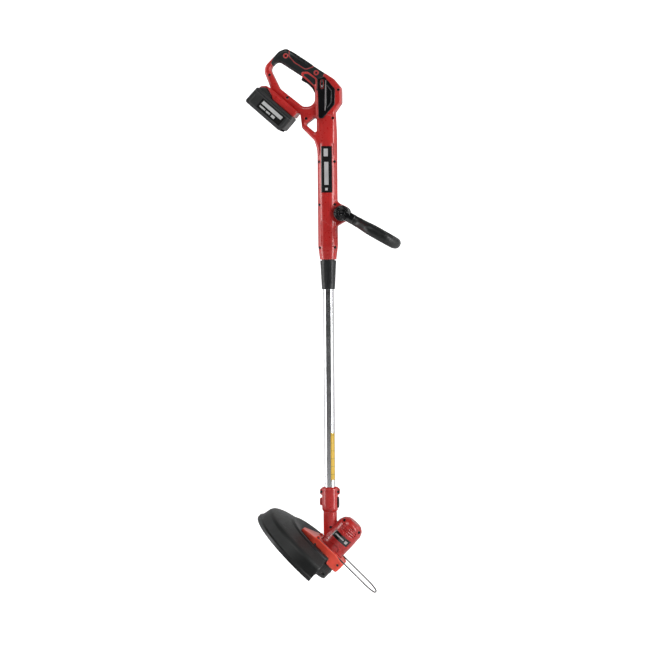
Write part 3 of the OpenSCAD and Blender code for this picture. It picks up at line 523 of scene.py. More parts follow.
def handle_rooms(x, y, z):
    """Everything cut out of the handle, as one distance."""
    side = np.abs(y)
    r = np.hypot(x, y)
    s, t = tilted(x, z, PACK_AT, PACK_TILT)
    rails = union(
        box(s, y, t, -130, -4.2, -22, 22, -1, 4.6), box(s, y, t, -130, -4.2, -27.4, 27.4, 4.5, 12.9))
    cuts = [
        rails,
        common(slot_zone(x, z), side - 7.8),
        common(panel_out(x, z), HEAD_HALF - 2.8 - side),
        lock_out(x, z) - 0.3,
        common(disc(x, z, *AUX_AT, 19), 13 - side),
        disc(x, z, *AUX_AT, BOLT_ROOM),
        common(band(x, -13.1, 13.1), band(z, LABEL_LOW - 0.1, LABEL_HIGH + 0.1), COLUMN_R - 0.8 - r),
        common(band(x, -16.5, 16.5), band(z, LABEL_LOW - 7, LABEL_HIGH + 7), COLUMN_R - 0.45 - r),
        common(pocket(x, z), COLUMN_R - 0.7 - r),
        common(r - 16, band(z, 300, 342)),
        common(r - 20.5, band(z, 336, 600)),
    ]
    for points, depth, mouth in (
            (LOOP_SCREWS, LOOP_SCREW_Y, SCREW_ROOM), (COLUMN_SCREWS, COLUMN_SCREW_Y, COLUMN_SCREW_MOUTH)):
        for u, v in points:
            cuts.append(common(disc(x, z, u, v, SCREW_ROOM), band(y, depth - 2.5, depth + 2.2)))
            cuts.append(common(disc(x, z, u, v, mouth), y - depth))
            cuts.append(common(disc(x, z, u, v, 1.6), y - 12))
    return union(*cuts)


def handle_shell(side, x, y, z):
    body = handle_body(x, y, z)
    posts = union(*[disc(x, z, u, v, 3.8) for u, v in LOOP_SCREWS + COLUMN_SCREWS])
    hollow = common(body + COVER_T + 3, np.abs(y) - 16, -posts)
    cover = common(cover_region(x, z) - 0.15, -(body + COVER_T - 0.1))
    pad = common(pad_zone(x, z) - 0.15, -(body + COVER_T - 0.1))
    solid = common(body, -handle_rooms(x, y, z), -hollow, -cover, -pad)
    return soft_max(solid, SEAM - side * y, 0.5)


def grip_cover(side, x, y, z):
    body = handle_body(x, y, z)
    skin = soft_max(body, cover_region(x, z), 1.2)
    skin = common(skin, -(body + COVER_T - 0.15), -common(slot_zone(x, z), np.abs(y) - 7.8))
    skin = common(skin, -(lock_out(x, z) - 0.3), -common(panel_out(x, z) - 0.3, HEAD_HALF - 3 - np.abs(y)))
    return soft_max(skin, SEAM - side * y, 0.5)


def grip_pad(x, y, z):
    """Softer pad let into the top of the grip, a little crowned."""
    edge = pad_zone(x, z)
    crown = 1.1 * np.clip(-edge / 12, 0, 1) ** 0.5
    body = handle_body(x, y, z)
    return common(soft_max(body - crown, edge, 1.6), -(body + COVER_T - 0.15))


def side_panel(side, x, y, z):
    """Glossy side panel: it rises to an upright ridge, and the front part is sunk inside a chevron."""
    rise = 0.9 * np.clip((x + 18) / 16, 0, 1)
    sunk = 1.9 * np.clip(-chevron(x, z) / 1.0, 0, 1)
    face = HEAD_HALF - 0.5 + rise - sunk
    solid = soft_max(panel_out(x, z) + 0.1, side * y - face, 1.4)
    rim = lock_out(x, z)
    ledge = common(rim - 1.5, HEAD_HALF - 1.2 - side * y)
    return common(solid, HEAD_HALF - 2.7 - side * y, -ledge, -(rim - 0.3))


def panel_frame(side, x, y, z):
    ring = common(np.abs(chevron(x, z)) - 1.2, 1.6 - x)
    return soft_max(ring, band(side * y, HEAD_HALF - 1.6, HEAD_HALF + 0.75), 0.8)


def panel_ridge(side, x, y, z):
    lean = x + 1.1 - 0.028 * (z - 686)
    bar = common(np.abs(lean) - 1.6, band(z, 652, 724))
    top = HEAD_HALF + 0.9 - 0.35 * np.abs(lean)
    return soft_max(bar, common(side * y - top, HEAD_HALF - 1.6 - side * y), 0.8)


def lock_rim(side, x, y, z):
    return soft_max(np.abs(lock_out(x, z) + 0.3) - 0.5, band(side * y, HEAD_HALF - 1.4, HEAD_HALF + 0.3), 0.4)


def on_column(side, under):
    """Places a patch on the column: across its front, up it, lifted from the radius under."""

    def place(u, v, lift):
        r = COLUMN_R + under + lift
        return side * -u, side * np.sqrt(r**2 - u**2), v

    return place



trigger_out = Outline([(-60.5, 726, 2), (-45, 717, 8), (-34, 706, 8), (-29, 696, 2), (-21, 697, 4),
    (-14.5, 698.5, 3), (-14.5, 708, 3), (-35, 723, 2), (-37, 735, 2), (-46, 738, 2), (-48, 730, 2),
    (-57, 735, 2)])


def trigger(x, y, z):
    return common(slab(trigger_out(x, z), y, 7.2, 2.6), -disc(x, z, -19, 703, 2.05))


def lock_off_button(x, y, z):
    dish = np.hypot(np.hypot(x + 9, z - 714.5), np.abs(y) - 37.4) - 14.6
    return common(slab(lock_out(x, z) + 1.1, y, 25.6, 1.2), -dish)


COLUMN_BARS = [(-6, 4, 545, 563), (-5, 5, 478, 532), (-3, 3, 465, 471)]
# The ridge's pale grey material is a painted highlight.
PANEL_TRIM = (
    ("panel_frame_", panel_frame, 0.5, TRIM_GREY), ("panel_ridge_", panel_ridge, 0.5, RIDGE_HIGHLIGHT_GREY),
    ("lock_rim_", lock_rim, 0.45, RED))

for side, hand in SIDES:
    moulding("handle_shell_" + hand, partial(handle_shell, side), 1.15, "handle", RED)
    room = node_box("grip_cover_" + hand, 4.5, np.array([25.5, 5.5, 4.5]))
    moulding("grip_cover_" + hand, partial(grip_cover, side), 0.95, "handle", SOFT_BLACK, room)
    moulding("side_panel_" + hand, partial(side_panel, side), 0.6, "handle", GLOSS_BLACK)
    room = node_box("side_panel_" + hand)
    for piece, build, cell, material in PANEL_TRIM:
        moulding(piece + hand, partial(build, side), cell, "handle", material, room)
    patch = (-12.9, 12.9, LABEL_LOW + 0.1, LABEL_HIGH - 0.1)
    plate("label_plate_" + hand, on_column(side, -0.75), patch, 1.0, 26, "handle", LABEL_FILM)
    for i, patch in enumerate(COLUMN_BARS):
        plate("label_bar_%s_%d" % (hand, i), on_column(side, 0.15), patch, 0.16, 10, "handle", PALE_PRINT)
moulding("grip_pad", grip_pad, 0.9, "handle", PAD_BLACK, node_box("grip_pad", 2.5, 2.5))
moulding("trigger", trigger, 0.7, "trigger", SOFT_BLACK)
moulding("lock_off_button", lock_off_button, 0.6, "lock_off", GLOSS_BLACK)


# ---- Front handle ----

AUX_REACH, AUX_HALF_WIDTH, AUX_HALF = 154, 62, 13
aux_out = Outline([(4, -26), (42, -27, 20), (74, -AUX_HALF_WIDTH, 30), (AUX_REACH, -AUX_HALF_WIDTH, 44),
    (AUX_REACH, AUX_HALF_WIDTH, 44), (74, AUX_HALF_WIDTH, 30), (42, 27, 20), (4, 26)])
aux_in = Outline([(-30, -13.4), (44, -13.4, 8), (80, -41, 14), (131, -41, 22), (131, 41, 22), (80, 41, 14),
    (44, 13.4, 8), (-30, 13.4)])
GRIP_FROM = 31


def aux_bar(x, y, z):
    """(distance to the loop's bar, coordinates along and across it) in the front handle's frame."""
    u, w = tilted(x, z, AUX_AT, AUX_DROP)
    return slab(common(aux_out(u, y), -aux_in(u, y)), w, AUX_HALF, 12.2), u, w


def knuckle(u, y, w):
    """Two stepped discs with turned rings, one on each side of the column."""
    side = np.abs(y)
    r = np.hypot(u, w)
    plate = soft_max(r - 18.4, band(side, 13.4, 26), 1.6)
    groove = soft_max(band(r, 13.4, 15), 24.6 - side, 0.4)
    inner = soft_max(band(r, 9.9, 10.9), 25 - side, 0.3)
    return common(plate, -groove, -inner)


def aux_loop(x, y, z):
    bar, u, w = aux_bar(x, y, z)
    core = common(bar, 12 - u, -common(GRIP_FROM + 0.6 - u, -(bar + 2)))
    solid = soft_min(core, knuckle(u, y, w), 2)
    r = np.hypot(u, w)
    middle = common(np.abs(y) - 13.4, r - 22)
    seat = common(r - 8.3, 18 - np.abs(y))
    return common(solid, -middle, -seat, -(r - BOLT_ROOM))


def aux_grip(x, y, z):
    bar, u, w = aux_bar(x, y, z)
    ribs = 0.35 * np.clip(np.cos((u - 36) * 2 * math.pi / 5), 0.55, 1) * (u < 43)
    return common(soft_max(bar + ribs, GRIP_FROM - u, 1.6), -(bar + 1.9), np.abs(w) - AUX_HALF)


def aux_lock_button(x, y, z):
    u, w = tilted(x, z, AUX_AT, AUX_DROP)
    r = np.hypot(u, w)
    dish = np.sqrt(r**2 + (y + 37.5) ** 2) - 11
    return common(soft_max(r - 8, band(y, -27.5, -21.5), 1.2), -dish)


moulding("aux_loop", aux_loop, 1.15, "front_handle", GLOSS_BLACK)
moulding("aux_grip", aux_grip, 1.1, "front_handle", GRIP_GREY,
    node_box("aux_grip", np.array([33.5, 1.5, 1.5]), np.array([1.5, 1.5, 33.5])))
moulding("aux_lock_button", aux_lock_button, 0.45, "front_handle_lock", GLOSS_BLACK)


# ---- Battery ----

PACK_HALF = 37.5
PACK_SEAM = -9
PACK_MIRROR = -94.0
PACK_ROOM = (-109.5, -1.5, -32.3, 32.3, -43.5, -3)
PACK_BARS = [(-77, -17, -23.5, -15), (-77, -60, -32, -28), (-41, -31, -33, -27), (-57, -45, -32, -28)]
pack_out = Outline([(-112, -45.3, 6), (-7.5, -45.3, 3), (1, -35.5, 3), (1, -0.5, 3), (-111, -0.5, 4)])
hump_out = Outline([(-108, -2), (-66.5, -2), (-66.5, -0.5, 1), (-74, 5.2, 3), (-91, 10.6, 2),
    (-96, 10.8, 4), (-106, 3, 4)])
latch_out = Outline([(-110.4, -1.5, 0.8), (-106, -1.5, 1), (-94.4, 7, 1), (-94.4, 15.2, 2), (-99, 15, 7),
    (-108.4, 6, 8)])
face_out = Outline([(-103, -40, 5), (-5, -40, 8), (-5, -8.5, 5), (-103, -8.5, 5)])


def from_pack(s, y, t):
    """A point of the battery's frame in the part's frame."""
    d = math.radians(PACK_TILT)
    return (PACK_AT[0] + s * math.cos(d) + t * math.sin(d), y, PACK_AT[1] - s * math.sin(d) + t * math.cos(d))


def pack_block(s, y, t):
    """The battery's body: rounded block with a flat, slightly raised face on each side."""
    block = slab(pack_out(s, t), y, PACK_HALF - 1.4, 4)
    face = slab(face_out(s, t), y, PACK_HALF, 1.3)
    return soft_min(block, face, 1.0)


def pack_details(s, y, t):
    """Label recess, seam, and the step between the smooth rear and the label side."""
    side = np.abs(y)
    recess = common(band(s, -82.1, -11.9), band(t, -37.1, -11.9), PACK_HALF - 0.6 - side)
    step = common(band(s, -86.2, -84.8), band(t, -38, -10), PACK_HALF - 0.5 - side)
    seam = common(np.abs(t - PACK_SEAM) - 0.35, -(pack_out(s, t) + 1.2), PACK_HALF - 0.9 - side)
    return union(recess, step, seam)


def battery_case(x, y, z):
    s, t = tilted(x, z, PACK_AT, PACK_TILT)
    block = pack_block(s, y, t)
    screws = [common(np.hypot(s - u, np.abs(y) - 29) - 2.7, t + 42) for u in (-107, -4.6)]
    vents = common(band(np.mod(s + 80, 9), 3, 6), band(s, -80, -17), t + 43.6, np.abs(y) - 22)
    solid = common(block, -pack_details(s, y, t), -box(s, y, t, *PACK_ROOM), -vents, *[-c for c in screws])
    return soft_max(solid, t - PACK_SEAM, 0.7)


def battery_cover(x, y, z):
    s, t = tilted(x, z, PACK_AT, PACK_TILT)
    block = soft_max(pack_block(s, y, t), PACK_SEAM + 0.05 - t, 0.7)
    hump = slab(hump_out(s, t), y, 30, 2)
    rails = union(box(s, y, t, -92, -10.5, -21.6, 21.6, -1, 5), box(s, y, t, -92, -10.5, -27, 27, 4.95, 12.4))
    slots = common(band(np.mod(y + 50, 10), 4, 6), np.abs(y) - 18, band(s, -24, -9), band(t, 5.6, 12))
    latch_room = union(*[common(latch_out(s, t + drop) - 0.3, np.abs(y) - 17.3) for drop in (0, 1.6, 3.2)])
    solid = soft_min(block, union(hump, rails), 0.8)
    return common(solid, -pack_details(s, y, t), -slots, -box(s, y, t, *PACK_ROOM), -latch_room)


def battery_latch(x, y, z):
    s, t = tilted(x, z, PACK_AT, PACK_TILT)
    ribs = 0.5 * np.clip(np.cos(y * 2 * math.pi / 4), 0, 1) * (np.abs(y) < 13) * (t > 9)
    return slab(latch_out(s, t) + ribs, y, 17, 2)


def on_pack(side, under):
    """Places a patch on the battery's side face."""

    def place(s, t, lift):
        x, y, z = from_pack(side * -s + (side > 0) * PACK_MIRROR, side * (PACK_HALF + under + lift), t)
        return x, y, z

    return place


moulding("battery_case", battery_case, 1.15, "battery", DARK_GREY)
moulding("battery_cover", battery_cover, 1.1, "battery", DARK_GREY)
moulding("battery_latch", battery_latch, 0.6, "battery_release", RED)
for side, hand in SIDES:
    plate("battery_label_" + hand, on_pack(side, -0.55), (-81.8, -12.2, -36.8, -12.2), 0.8, 1, "battery",
        LABEL_FILM)
    for i, patch in enumerate(PACK_BARS):
        plate("battery_bar_%s_%d" % (hand, i), on_pack(side, 0.2), patch, 0.12, 1, "battery", PALE_PRINT)


# ---- Collar, coupling and neck ----

TUBE_R = 12.5
COLLAR_LOW, COLLAR_HIGH = 233, 301
collar_side = Outline([(-30, COLLAR_LOW), (15.2, COLLAR_LOW, 1.2), (16.6, 251, 20), (19, COLLAR_HIGH, 1),
    (-30, COLLAR_HIGH)])
COLLAR_FACETS = 10


def around(x, y, count, shift=0.0):
    """Angle from the middle of the nearest of count equal sectors."""
    sector = 2 * math.pi / count
    return np.mod(np.arctan2(y, x) + shift + sector / 2, sector) - sector / 2


def lock_collar(x, y, z):
    """Tapered collar with rounded facets for the fingers."""
    r = np.hypot(x, y)
    facet = r * np.cos(around(x, y, COLLAR_FACETS)) - (17.9 + (z - 275) * 0.048 - 0.35)
    facet = facet - 0.6 * np.clip(np.abs(z - 270) - 22, 0, 4)
    solid = soft_max(collar_side(r, z), facet, 0.6)
    return common(solid, -(r - 12.8), -common(r - 15.5, 255.4 - z))


SLEEVE_LOW, SLEEVE_HIGH = -292, -234
sleeve_side = Outline([(-30, SLEEVE_LOW), (15.6, SLEEVE_LOW, 1.5), (19, -286.5, 3), (19, -238, 3),
    (15.5, SLEEVE_HIGH, 1.5), (-30, SLEEVE_HIGH)])
ear_out = Outline([(-23.5, -252, 4), (23.5, -252, 4), (23.5, -239, 5), (17, SLEEVE_HIGH, 4),
    (-17, SLEEVE_HIGH, 4), (-23.5, -239, 5)])
rear_boss = Outline([(-24, -277, 3), (0, -277), (0, -259), (-24, -259, 3)])
button_out = Outline([(18, -283, 0.6), (20.8, -283, 2), (22, -277, 4), (22, -263, 4), (20.8, -257, 2),
    (18, -257, 0.6)])


def coupling_shell(side, x, y, z):
    r = np.hypot(x, y)
    body = soft_min(sleeve_side(r, z), slab(ear_out(x, z), y, 6.5, 2), 2.5)
    body = soft_min(body, slab(rear_boss(x, z), y, 7, 2), 1.5)
    lens = np.hypot(np.abs(y) + 30, z + 270) - 38.5
    thumb = common(lens, 13.5 - x, 18.3 - r)
    rooms = union(
        common(r - TUBE_R - 0.05, -259 - z), common(r - 14.55, z + 258.5),
        common(r - 16.3, band(z, -270.4, -266.6)), box(x, y, z, 16, 30, -5.3, 5.3, -283.3, -256.7))
    for u in (-20, 20):
        rooms = union(rooms, common(disc(x, z, u, -245, 3), y + 4.3), disc(x, z, u, -245, 1.35))
    lip = common(np.abs(z + 286) - 0.3, 18.6 - r)
    return soft_max(common(soft_max(body, -thumb, 0.6), -rooms, -lip), SEAM - side * y, 0.4)


def rotation_button(x, y, z):
    ribs = common(band(np.mod(z + 285, 3.4), 0, 1.5), band(z, -279, -260), 21.1 - x)
    return soft_max(slab(button_out(x, z), y, 5, 1.2), -ribs, 0.3)


moulding("lock_collar", lock_collar, 0.55, "lock_collar", SOFT_BLACK)
for side, hand in SIDES:
    moulding("coupling_shell_" + hand, partial(coupling_shell, side), 0.6, "shaft", RED)
moulding("rotation_button", rotation_button, 0.4, "rotation_release", DARK_GREY)


# ---- Motor head ----

HEAD_TILT = 43
VENT_PITCH = 5.1
SPINDLE_U = 260
MOTOR_R = 32.5
motor_side = Outline([(-40, -281), (29, -281, 3), (MOTOR_R, -275, 4), (MOTOR_R, -210, 5), (27.5, -198.5, 8),
    (18, -191, 8), (-40, -191)])
neck_side = Outline([(-30, -355), (16, -355), (16, -292.12, 1.2), (-30, -292.12)])
vent_out = Outline([(-19, -207, 4), (-16, -221, 5), (0, -224.5, 20), (20, -221, 5), (23, -211, 3),
    (19, -204.5, 4), (0, -203, 20)])
lower_out = Outline([(-31, -284), (-31, -262, 3), (9, -258.5, 4), (17, -266, 3), (15, -284)])
HEAD_SCREWS = [(-22, -203), (23, -201), (-34.6, -238)]
HEAD_SCREW_Y = -13


def in_head(x, z):
    """(forward, along the spindle) in the motor head's frame."""
    u, w = tilted(x, z, (0, 0), HEAD_TILT)
    return u - SPINDLE_U, w


def from_head(a, y, w):
    """A point or direction of the motor head's frame, taken at the spindle, in the part's frame."""
    t = math.radians(HEAD_TILT)
    u = a + SPINDLE_U
    return u * math.cos(t) + w * math.sin(t), y, w * math.cos(t) - u * math.sin(t)


def motor_housing(side, x, y, z):
    a, w = in_head(x, z)
    r = np.hypot(a, y)
    body = soft_min(motor_side(r, w), neck_side(np.hypot(x, y), z), 3)
    band_edge = soft_max(r - MOTOR_R - 0.4, band(w, -253, -228), 0.6)
    body = soft_min(body, band_edge, 0.5)
    can = motor_side(r, w)
    ridge = 1.3 * np.clip(0.5 - 0.75 * np.cos((w + 224.6) * 2 * math.pi / VENT_PITCH), 0, 1)
    vent = soft_max(vent_out(a, w), ridge - (can + 2.2), 0.8)
    lower = common(lower_out(a, w), -(can + 1.5), 6 - np.abs(y))
    label = common(band(a, -21.2, 24.2), band(w, -246.7, -230.3), MOTOR_R - 1 - r, y + 10)
    rooms = union(
        common(vent, 6 - np.abs(y)), lower, label,
        common(motor_side(r, w) + 3.2, r - 29.5),
        common(np.hypot(x, y) - 14.55, band(z, -321, -280)),
        common(np.hypot(x, y) - 12.5, band(z, -345, -300)),
        common(r - 6.55, w + 276))
    for u, v in HEAD_SCREWS:
        rooms = union(rooms, common(disc(a, w, u, v, SCREW_ROOM), y - HEAD_SCREW_Y - 2.2))
    return soft_max(common(body, -rooms), SEAM - side * y, 0.4)


def on_motor(under):
    """Places a patch on the front of the motor housing."""

    def place(a, w, lift):
        return from_head(a, -np.sqrt((MOTOR_R + under + lift) ** 2 - a**2), w)

    return place


bracket_plan = Outline([(-82, -16, 8), (-46, -44, 16), (42, -44, 4), (48, -36, 4), (48, 36, 4), (42, 44, 4),
    (-46, 44, 16), (-82, 16, 8)])
bracket_side = Outline([(-84, -291), (13, -291, 3), (15, -304, 4), (46.6, -305.6, 5), (50, -290),
    (50, -280), (20, -273.4, 10), (-36, -273.2, 12), (-80, -284.5, 3), (-84, -290)])
bracket_hollow = Outline([(-44, -40.5, 6), (40, -40.5, 3), (44.5, -34, 3), (44.5, 34, 3), (40, 40.5, 3),
    (-44, 40.5, 6)])
WIRE_AT = (-39, -273.5)
WIRE_DIP = 1.7
WIRE_R = 1.6
GUARD_SCREWS = [(38, -288.5), (-34, -288.5)]


def guard_bracket(x, y, z):
    a, w = in_head(x, z)
    side = np.abs(y)
    block = soft_max(bracket_plan(a, y), bracket_side(a, w), 3.5)
    ears = soft_max(disc(a, w, *WIRE_AT, 4.6), band(side, 25, 31.8), 0.8)
    solid = soft_min(block, ears, 1.2)
    u, v = tilted(a, w, WIRE_AT, WIRE_DIP)
    groove = union(
        common(band(u, -6, 130), band(side, 35, 39.2), -2.4 - v),
        common(band(u, -6, 12), band(side, 31.85, 39.2), -2.4 - v))
    rooms = union(
        groove, common(np.hypot(a, y) - MOTOR_R - 1, -281.3 - w), common(bracket_hollow(a, y), w + 285),
        np.hypot(a, y) - 9, common(disc(a, w, *WIRE_AT, WIRE_R + 0.05), 24 - side))
    for u, v in GUARD_SCREWS:
        rooms = union(
            rooms, common(disc(a, w, u, v, 3), 42.4 - side), common(disc(a, w, u, v, 1.55), 33 - side))
    return common(solid, -rooms)


GUARD_R, RIM_W, GUARD_SWEEP = 178, -339, 190
GUARD_TOP = [(46, -291.3), (84, -291.3, 4), (92, -287.5, 5), (109, -282, 3), (114, -282.5, 2),
    (118, -286.5, 3), (158, -297.5, 8), (165, -301, 7), (169, -307, 8), (174, -329, 3), (GUARD_R, -331, 2),
    (GUARD_R, RIM_W, 0.8)]
GUARD_UNDER = [(175.4, RIM_W, 0.8), (175.4, -332.6, 0.8), (171.4, -330.5, 2), (166.5, -307.5, 6),
    (162.8, -303.1, 5), (156.8, -300, 6), (117.6, -289.1, 2), (113.5, -285, 1), (109.5, -284.6, 3),
    (93, -290.1, 4), (84.5, -293.9, 3), (46, -293.9)]
rib_out = Outline([(126, -330, 2), (172.8, -330), (172, -326), (167.7, -307.5, 3), (163.9, -301.9, 3),
    (158, -298.8, 3), (126, -290)])


def guard_shell():
    """The guard's wall: its section turned about the spindle, with a soft lip where each end is cut."""
    section = rounded((GUARD_TOP + GUARD_UNDER)[::-1], math.radians(15))
    count = 150
    half = math.radians(GUARD_SWEEP / 2)
    between = np.linspace(-half + 0.006, half - 0.006, count)
    angles = np.concatenate([[-half, -half + 0.0022], between, [half - 0.0022, half]])
    pulls = np.concatenate([[0.55, 0.16], np.zeros(count), [0.16, 0.55]])
    edge = np.roll(section, -1, 0) - np.roll(section, 1, 0)
    inward = np.stack([-edge[:, 1], edge[:, 0]], 1) / np.linalg.norm(edge, axis=1)[:, None]
    rings = []
    for angle, pull in zip(angles, pulls):
        r, w = (section + pull * inward).T
        rings.append(np.stack([-r * math.cos(angle), r * math.sin(angle), w], 1))
    size = len(section)
    vertices = np.concatenate(rings)
    i, j = np.meshgrid(np.arange(len(rings) - 1), np.arange(size), indexing="ij")
    k = (j + 1) % size
    quads = np.stack([i * size + j, i * size + k, (i + 1) * size + k, (i + 1) * size + j], -1).reshape(-1, 4)
    last = (len(rings) - 1) * size
    return vertices, quads.tolist(), [list(range(size))[::-1], list(range(last, last + size))]


def guard_inside(x, y, z):
    """Plate under the bracket, the walls near each end, and the lugs."""
    a, w = in_head(x, z)
    r = np.hypot(a, y)
    angle = np.abs(np.arctan2(y, -a))
    past = r * np.sin(np.clip(angle - math.radians(GUARD_SWEEP / 2), -math.pi / 2, math.pi / 2))
    ends = soft_max(rib_out(r, w), band(past, -4, -1), 0.5)
    inner = common(bracket_hollow(a, y) + 0.4, band(w, -293.9, -291.3))
    under = common(bracket_plan(a, y) + 0.5, a - 12, band(w, -293.9, -291.3))
    solid = union(ends, inner, under)
    for u, v in GUARD_SCREWS:
        lug = common(
            band(a, u - 4, u + 4), band(np.abs(y), 33, 41), bracket_hollow(a, y) + 0.3, band(w, -292, -285.3))
        solid = common(union(solid, lug), -disc(a, w, u, v, 1.55))
    return common(solid, -(r - 20))


def guard():
    """The wall and what is under it, joined as one piece."""
    shell, quads, caps = guard_shell()
    shell = np.stack(from_head(*shell.T), 1)
    inside, more = surface(guard_inside, *node_box("guard"), 1.3)
    faces = quads + caps + (more + len(shell)).tolist()
    finished("guard", plain_mesh("guard", np.concatenate([shell, inside]), faces), "motor_head", GUARD_GREY)


MOTOR_BARS = [(-16, 9, -239.5, -236), (13, 20, -242, -235)]
for side, hand in SIDES:
    moulding("motor_housing_" + hand, partial(motor_housing, side), 0.75, "motor_head", RED)
plate("motor_label", on_motor(-0.9), (-20.9, 23.9, -246.4, -230.6), 1.5, 30, "motor_head", LABEL_FILM)
for i, patch in enumerate(MOTOR_BARS):
    plate("motor_bar_%d" % i, on_motor(0.55), patch, 0.15, 16, "motor_head", PALE_PRINT)
moulding("guard_bracket", guard_bracket, 0.95, "motor_head", BRIGHT_RED)
guard()


# ---- Spool head ----

SPOOL_R = 36.5
spool_side = Outline([(-50, -337), (SPOOL_R, -337, 0.8), (SPOOL_R, -307, 3), (33, -305, 2), (8, -304.6),
    (8, -289, 0.5), (-50, -289)])
cap_side = Outline([(-50, -340.5), (36.1, -340.5, 1.5), (SPOOL_R, -337.1, 0.5), (34, -337.1),
    (34, -333.5, 0.4), (32.2, -333.5, 0.4), (32.2, -337.1), (-50, -337.1)])
knob_side = Outline([(-40, -349.5), (14, -349.5, 3), (16.7, -342.5, 2), (16.7, -335.5, 1), (-40, -335.5)])


def spool_parts(x, y, z):
    a, w = in_head(x, z)
    return a, w, np.hypot(a, y)


def spool_housing(x, y, z):
    a, w, r = spool_parts(x, y, z)
    angle = around(a, y, 4, math.pi / 4)
    across = r * np.sin(angle)
    tab = common(np.abs(across) - 7, band(w, -334, -328), 32.5 - r)
    tab_face = common(np.abs(across) - 8.5, band(w, -336, -322), SPOOL_R - 0.7 - r)
    grooves = common(np.abs(r * np.sin(around(a, y, 32))) - 0.9, band(w, -321, -309), SPOOL_R - 0.7 - r,
        7 - np.abs(y))
    eyes = common(np.hypot(y, w + 320) - 3.55, 28 - np.abs(a))
    rooms = union(tab, tab_face, eyes, common(r - 34.3, w + 307.5), common(r - 2.5, w + 260))
    solid = common(spool_side(r, w), -rooms)
    return common(solid, -grooves)


def spool_cap(x, y, z):
    w, r = spool_parts(x, y, z)[1:]
    return common(cap_side(r, w), -(r - 17.2))


def bump_knob(x, y, z):
    a, w, r = spool_parts(x, y, z)
    angle = around(a, y, 12)
    scallop = np.hypot(r * np.cos(angle) - 18.6, r * np.sin(angle)) - 2.6
    knob = soft_max(knob_side(r, w), -scallop, 0.5)
    dish = np.sqrt(r**2 + (w + 363) ** 2) - 14.6
    return union(common(knob, -dish), common(band(r, 5, 9.4), band(w, -336, -322)))


moulding("spool_housing", spool_housing, 0.8, "spool_head", DARK_GREY)
moulding("spool_cap", spool_cap, 0.8, "spool_head", DARK_GREY)
moulding("bump_knob", bump_knob, 0.6, "bump_button", SOFT_BLACK)


# ---- Screws and coils ----


def screw_distance(x, y, z, head_r, head_h, shank_r, length):
    """A six-lobed socket screw along +Y, its head's face at y = 0."""
    r = np.hypot(x, z)
    head = soft_max(r - head_r, band(y, 0, head_h), 0.5)
    shank = soft_max(r - shank_r, band(y, head_h - 0.5, length), 0.4)
    thread = shank_r - 0.22 - r + 0.2 * np.abs(np.mod(y * 1.1 + np.arctan2(z, x) / (2 * math.pi), 1) * 2 - 1)
    lobes = 0.26 * head_r * (1 + 0.2 * np.cos(6 * np.arctan2(z, x)))
    socket = common(r - 1.6 * lobes, y - 0.55 * head_h)
    return common(union(head, common(shank, -common(thread, head_h + 3 - y))), -socket)


def screws(name, places, body, head_r=3.1, head_h=2.2, shank_r=1.5, length=22.0):
    """One screw copied to places: (point of the head's face, direction of the screw), in mm."""
    low, high = (-head_r, 0, -head_r), (head_r, length, head_r)
    shape = lambda x, y, z: screw_distance(x, y, z, head_r, head_h, shank_r, length)
    model, quads = surface(shape, low, high, 0.42)
    vertices, faces = [], []
    for point, direction in places:
        turn = Vector((0, 1, 0)).rotation_difference(Vector(direction)).to_matrix()
        faces.append(quads + len(model) * len(vertices))
        vertices.append(model @ np.array(turn).T + np.array(point))
    finished(name, quad_mesh(name, np.concatenate(vertices), np.concatenate(faces)), body, DARK_STEEL)


def coil(name, wire_r, coil_r, z0, z1, turns, place=None, steps=22, sides=10):
    """A round wire wound about the Z axis from z0 to z1, its end turns flat, then moved by place."""
    count = int(turns * steps) + 1
    angle = 2 * math.pi * np.arange(count) / steps
    flat = 1.0 / turns
    rise = np.clip((np.linspace(0, 1, count) - flat) / (1 - 2 * flat), 0, 1)
    height = z0 + wire_r + (z1 - z0 - 2 * wire_r) * rise
    middle = np.stack([coil_r * np.cos(angle), coil_r * np.sin(angle), height], 1)
    along = np.gradient(middle, axis=0)
    along /= np.linalg.norm(along, axis=1)[:, None]
    out = np.stack([np.cos(angle), np.sin(angle), 0 * angle], 1)
    up = np.cross(along, out)
    turn = 2 * math.pi * np.arange(sides) / sides
    across, rise = np.cos(turn)[None, :, None], np.sin(turn)[None, :, None]
    rings = middle[:, None] + wire_r * (across * out[:, None] + rise * up[:, None])
    vertices = rings.reshape(-1, 3)
    if place:
        vertices = np.stack(place(*vertices.T), 1)
    i, j = np.meshgrid(np.arange(count - 1), np.arange(sides), indexing="ij")
    k = (j + 1) % sides
    i, on = i * sides, (i + 1) * sides
    quads = np.stack([i + j, on + j, on + k, i + k], -1).reshape(-1, 4)
    ends = [[0, *range(sides - 1, 0, -1)], [(count - 1) * sides + n for n in range(sides)]]
    return plain_mesh(name, vertices, quads.tolist() + ends)


def level(points, y):
    """Screws along +Y whose heads lie at y."""
    return [((u, y, v), (0, 1, 0)) for u, v in points]


INWARD = np.subtract(from_pack(0, 0, 1), from_pack(0, 0, 0)).tolist()
screws("handle_screws", level(LOOP_SCREWS, LOOP_SCREW_Y) + level(COLUMN_SCREWS, COLUMN_SCREW_Y), "handle")
screws("housing_screws", [(from_head(a, HEAD_SCREW_Y, w), (0, 1, 0)) for a, w in HEAD_SCREWS], "motor_head")
screws("coupling_screws", level([(-20, -245), (20, -245)], -6.2), "shaft", 2.8, 1.85, 1.3, 11.6)
screws("battery_screws", [(from_pack(s, y, -43.8), INWARD) for s in (-107, -4.6) for y in (-29, 29)],
    "battery", 2.4, 2.0, 1.25, 38)
screws("guard_screws",
    [(from_head(a, side * 43.9, w), (0, -side, 0)) for a, w in GUARD_SCREWS for side in (-1, 1)],
    "motor_head", 2.8, 1.45, 1.5, 9.9)

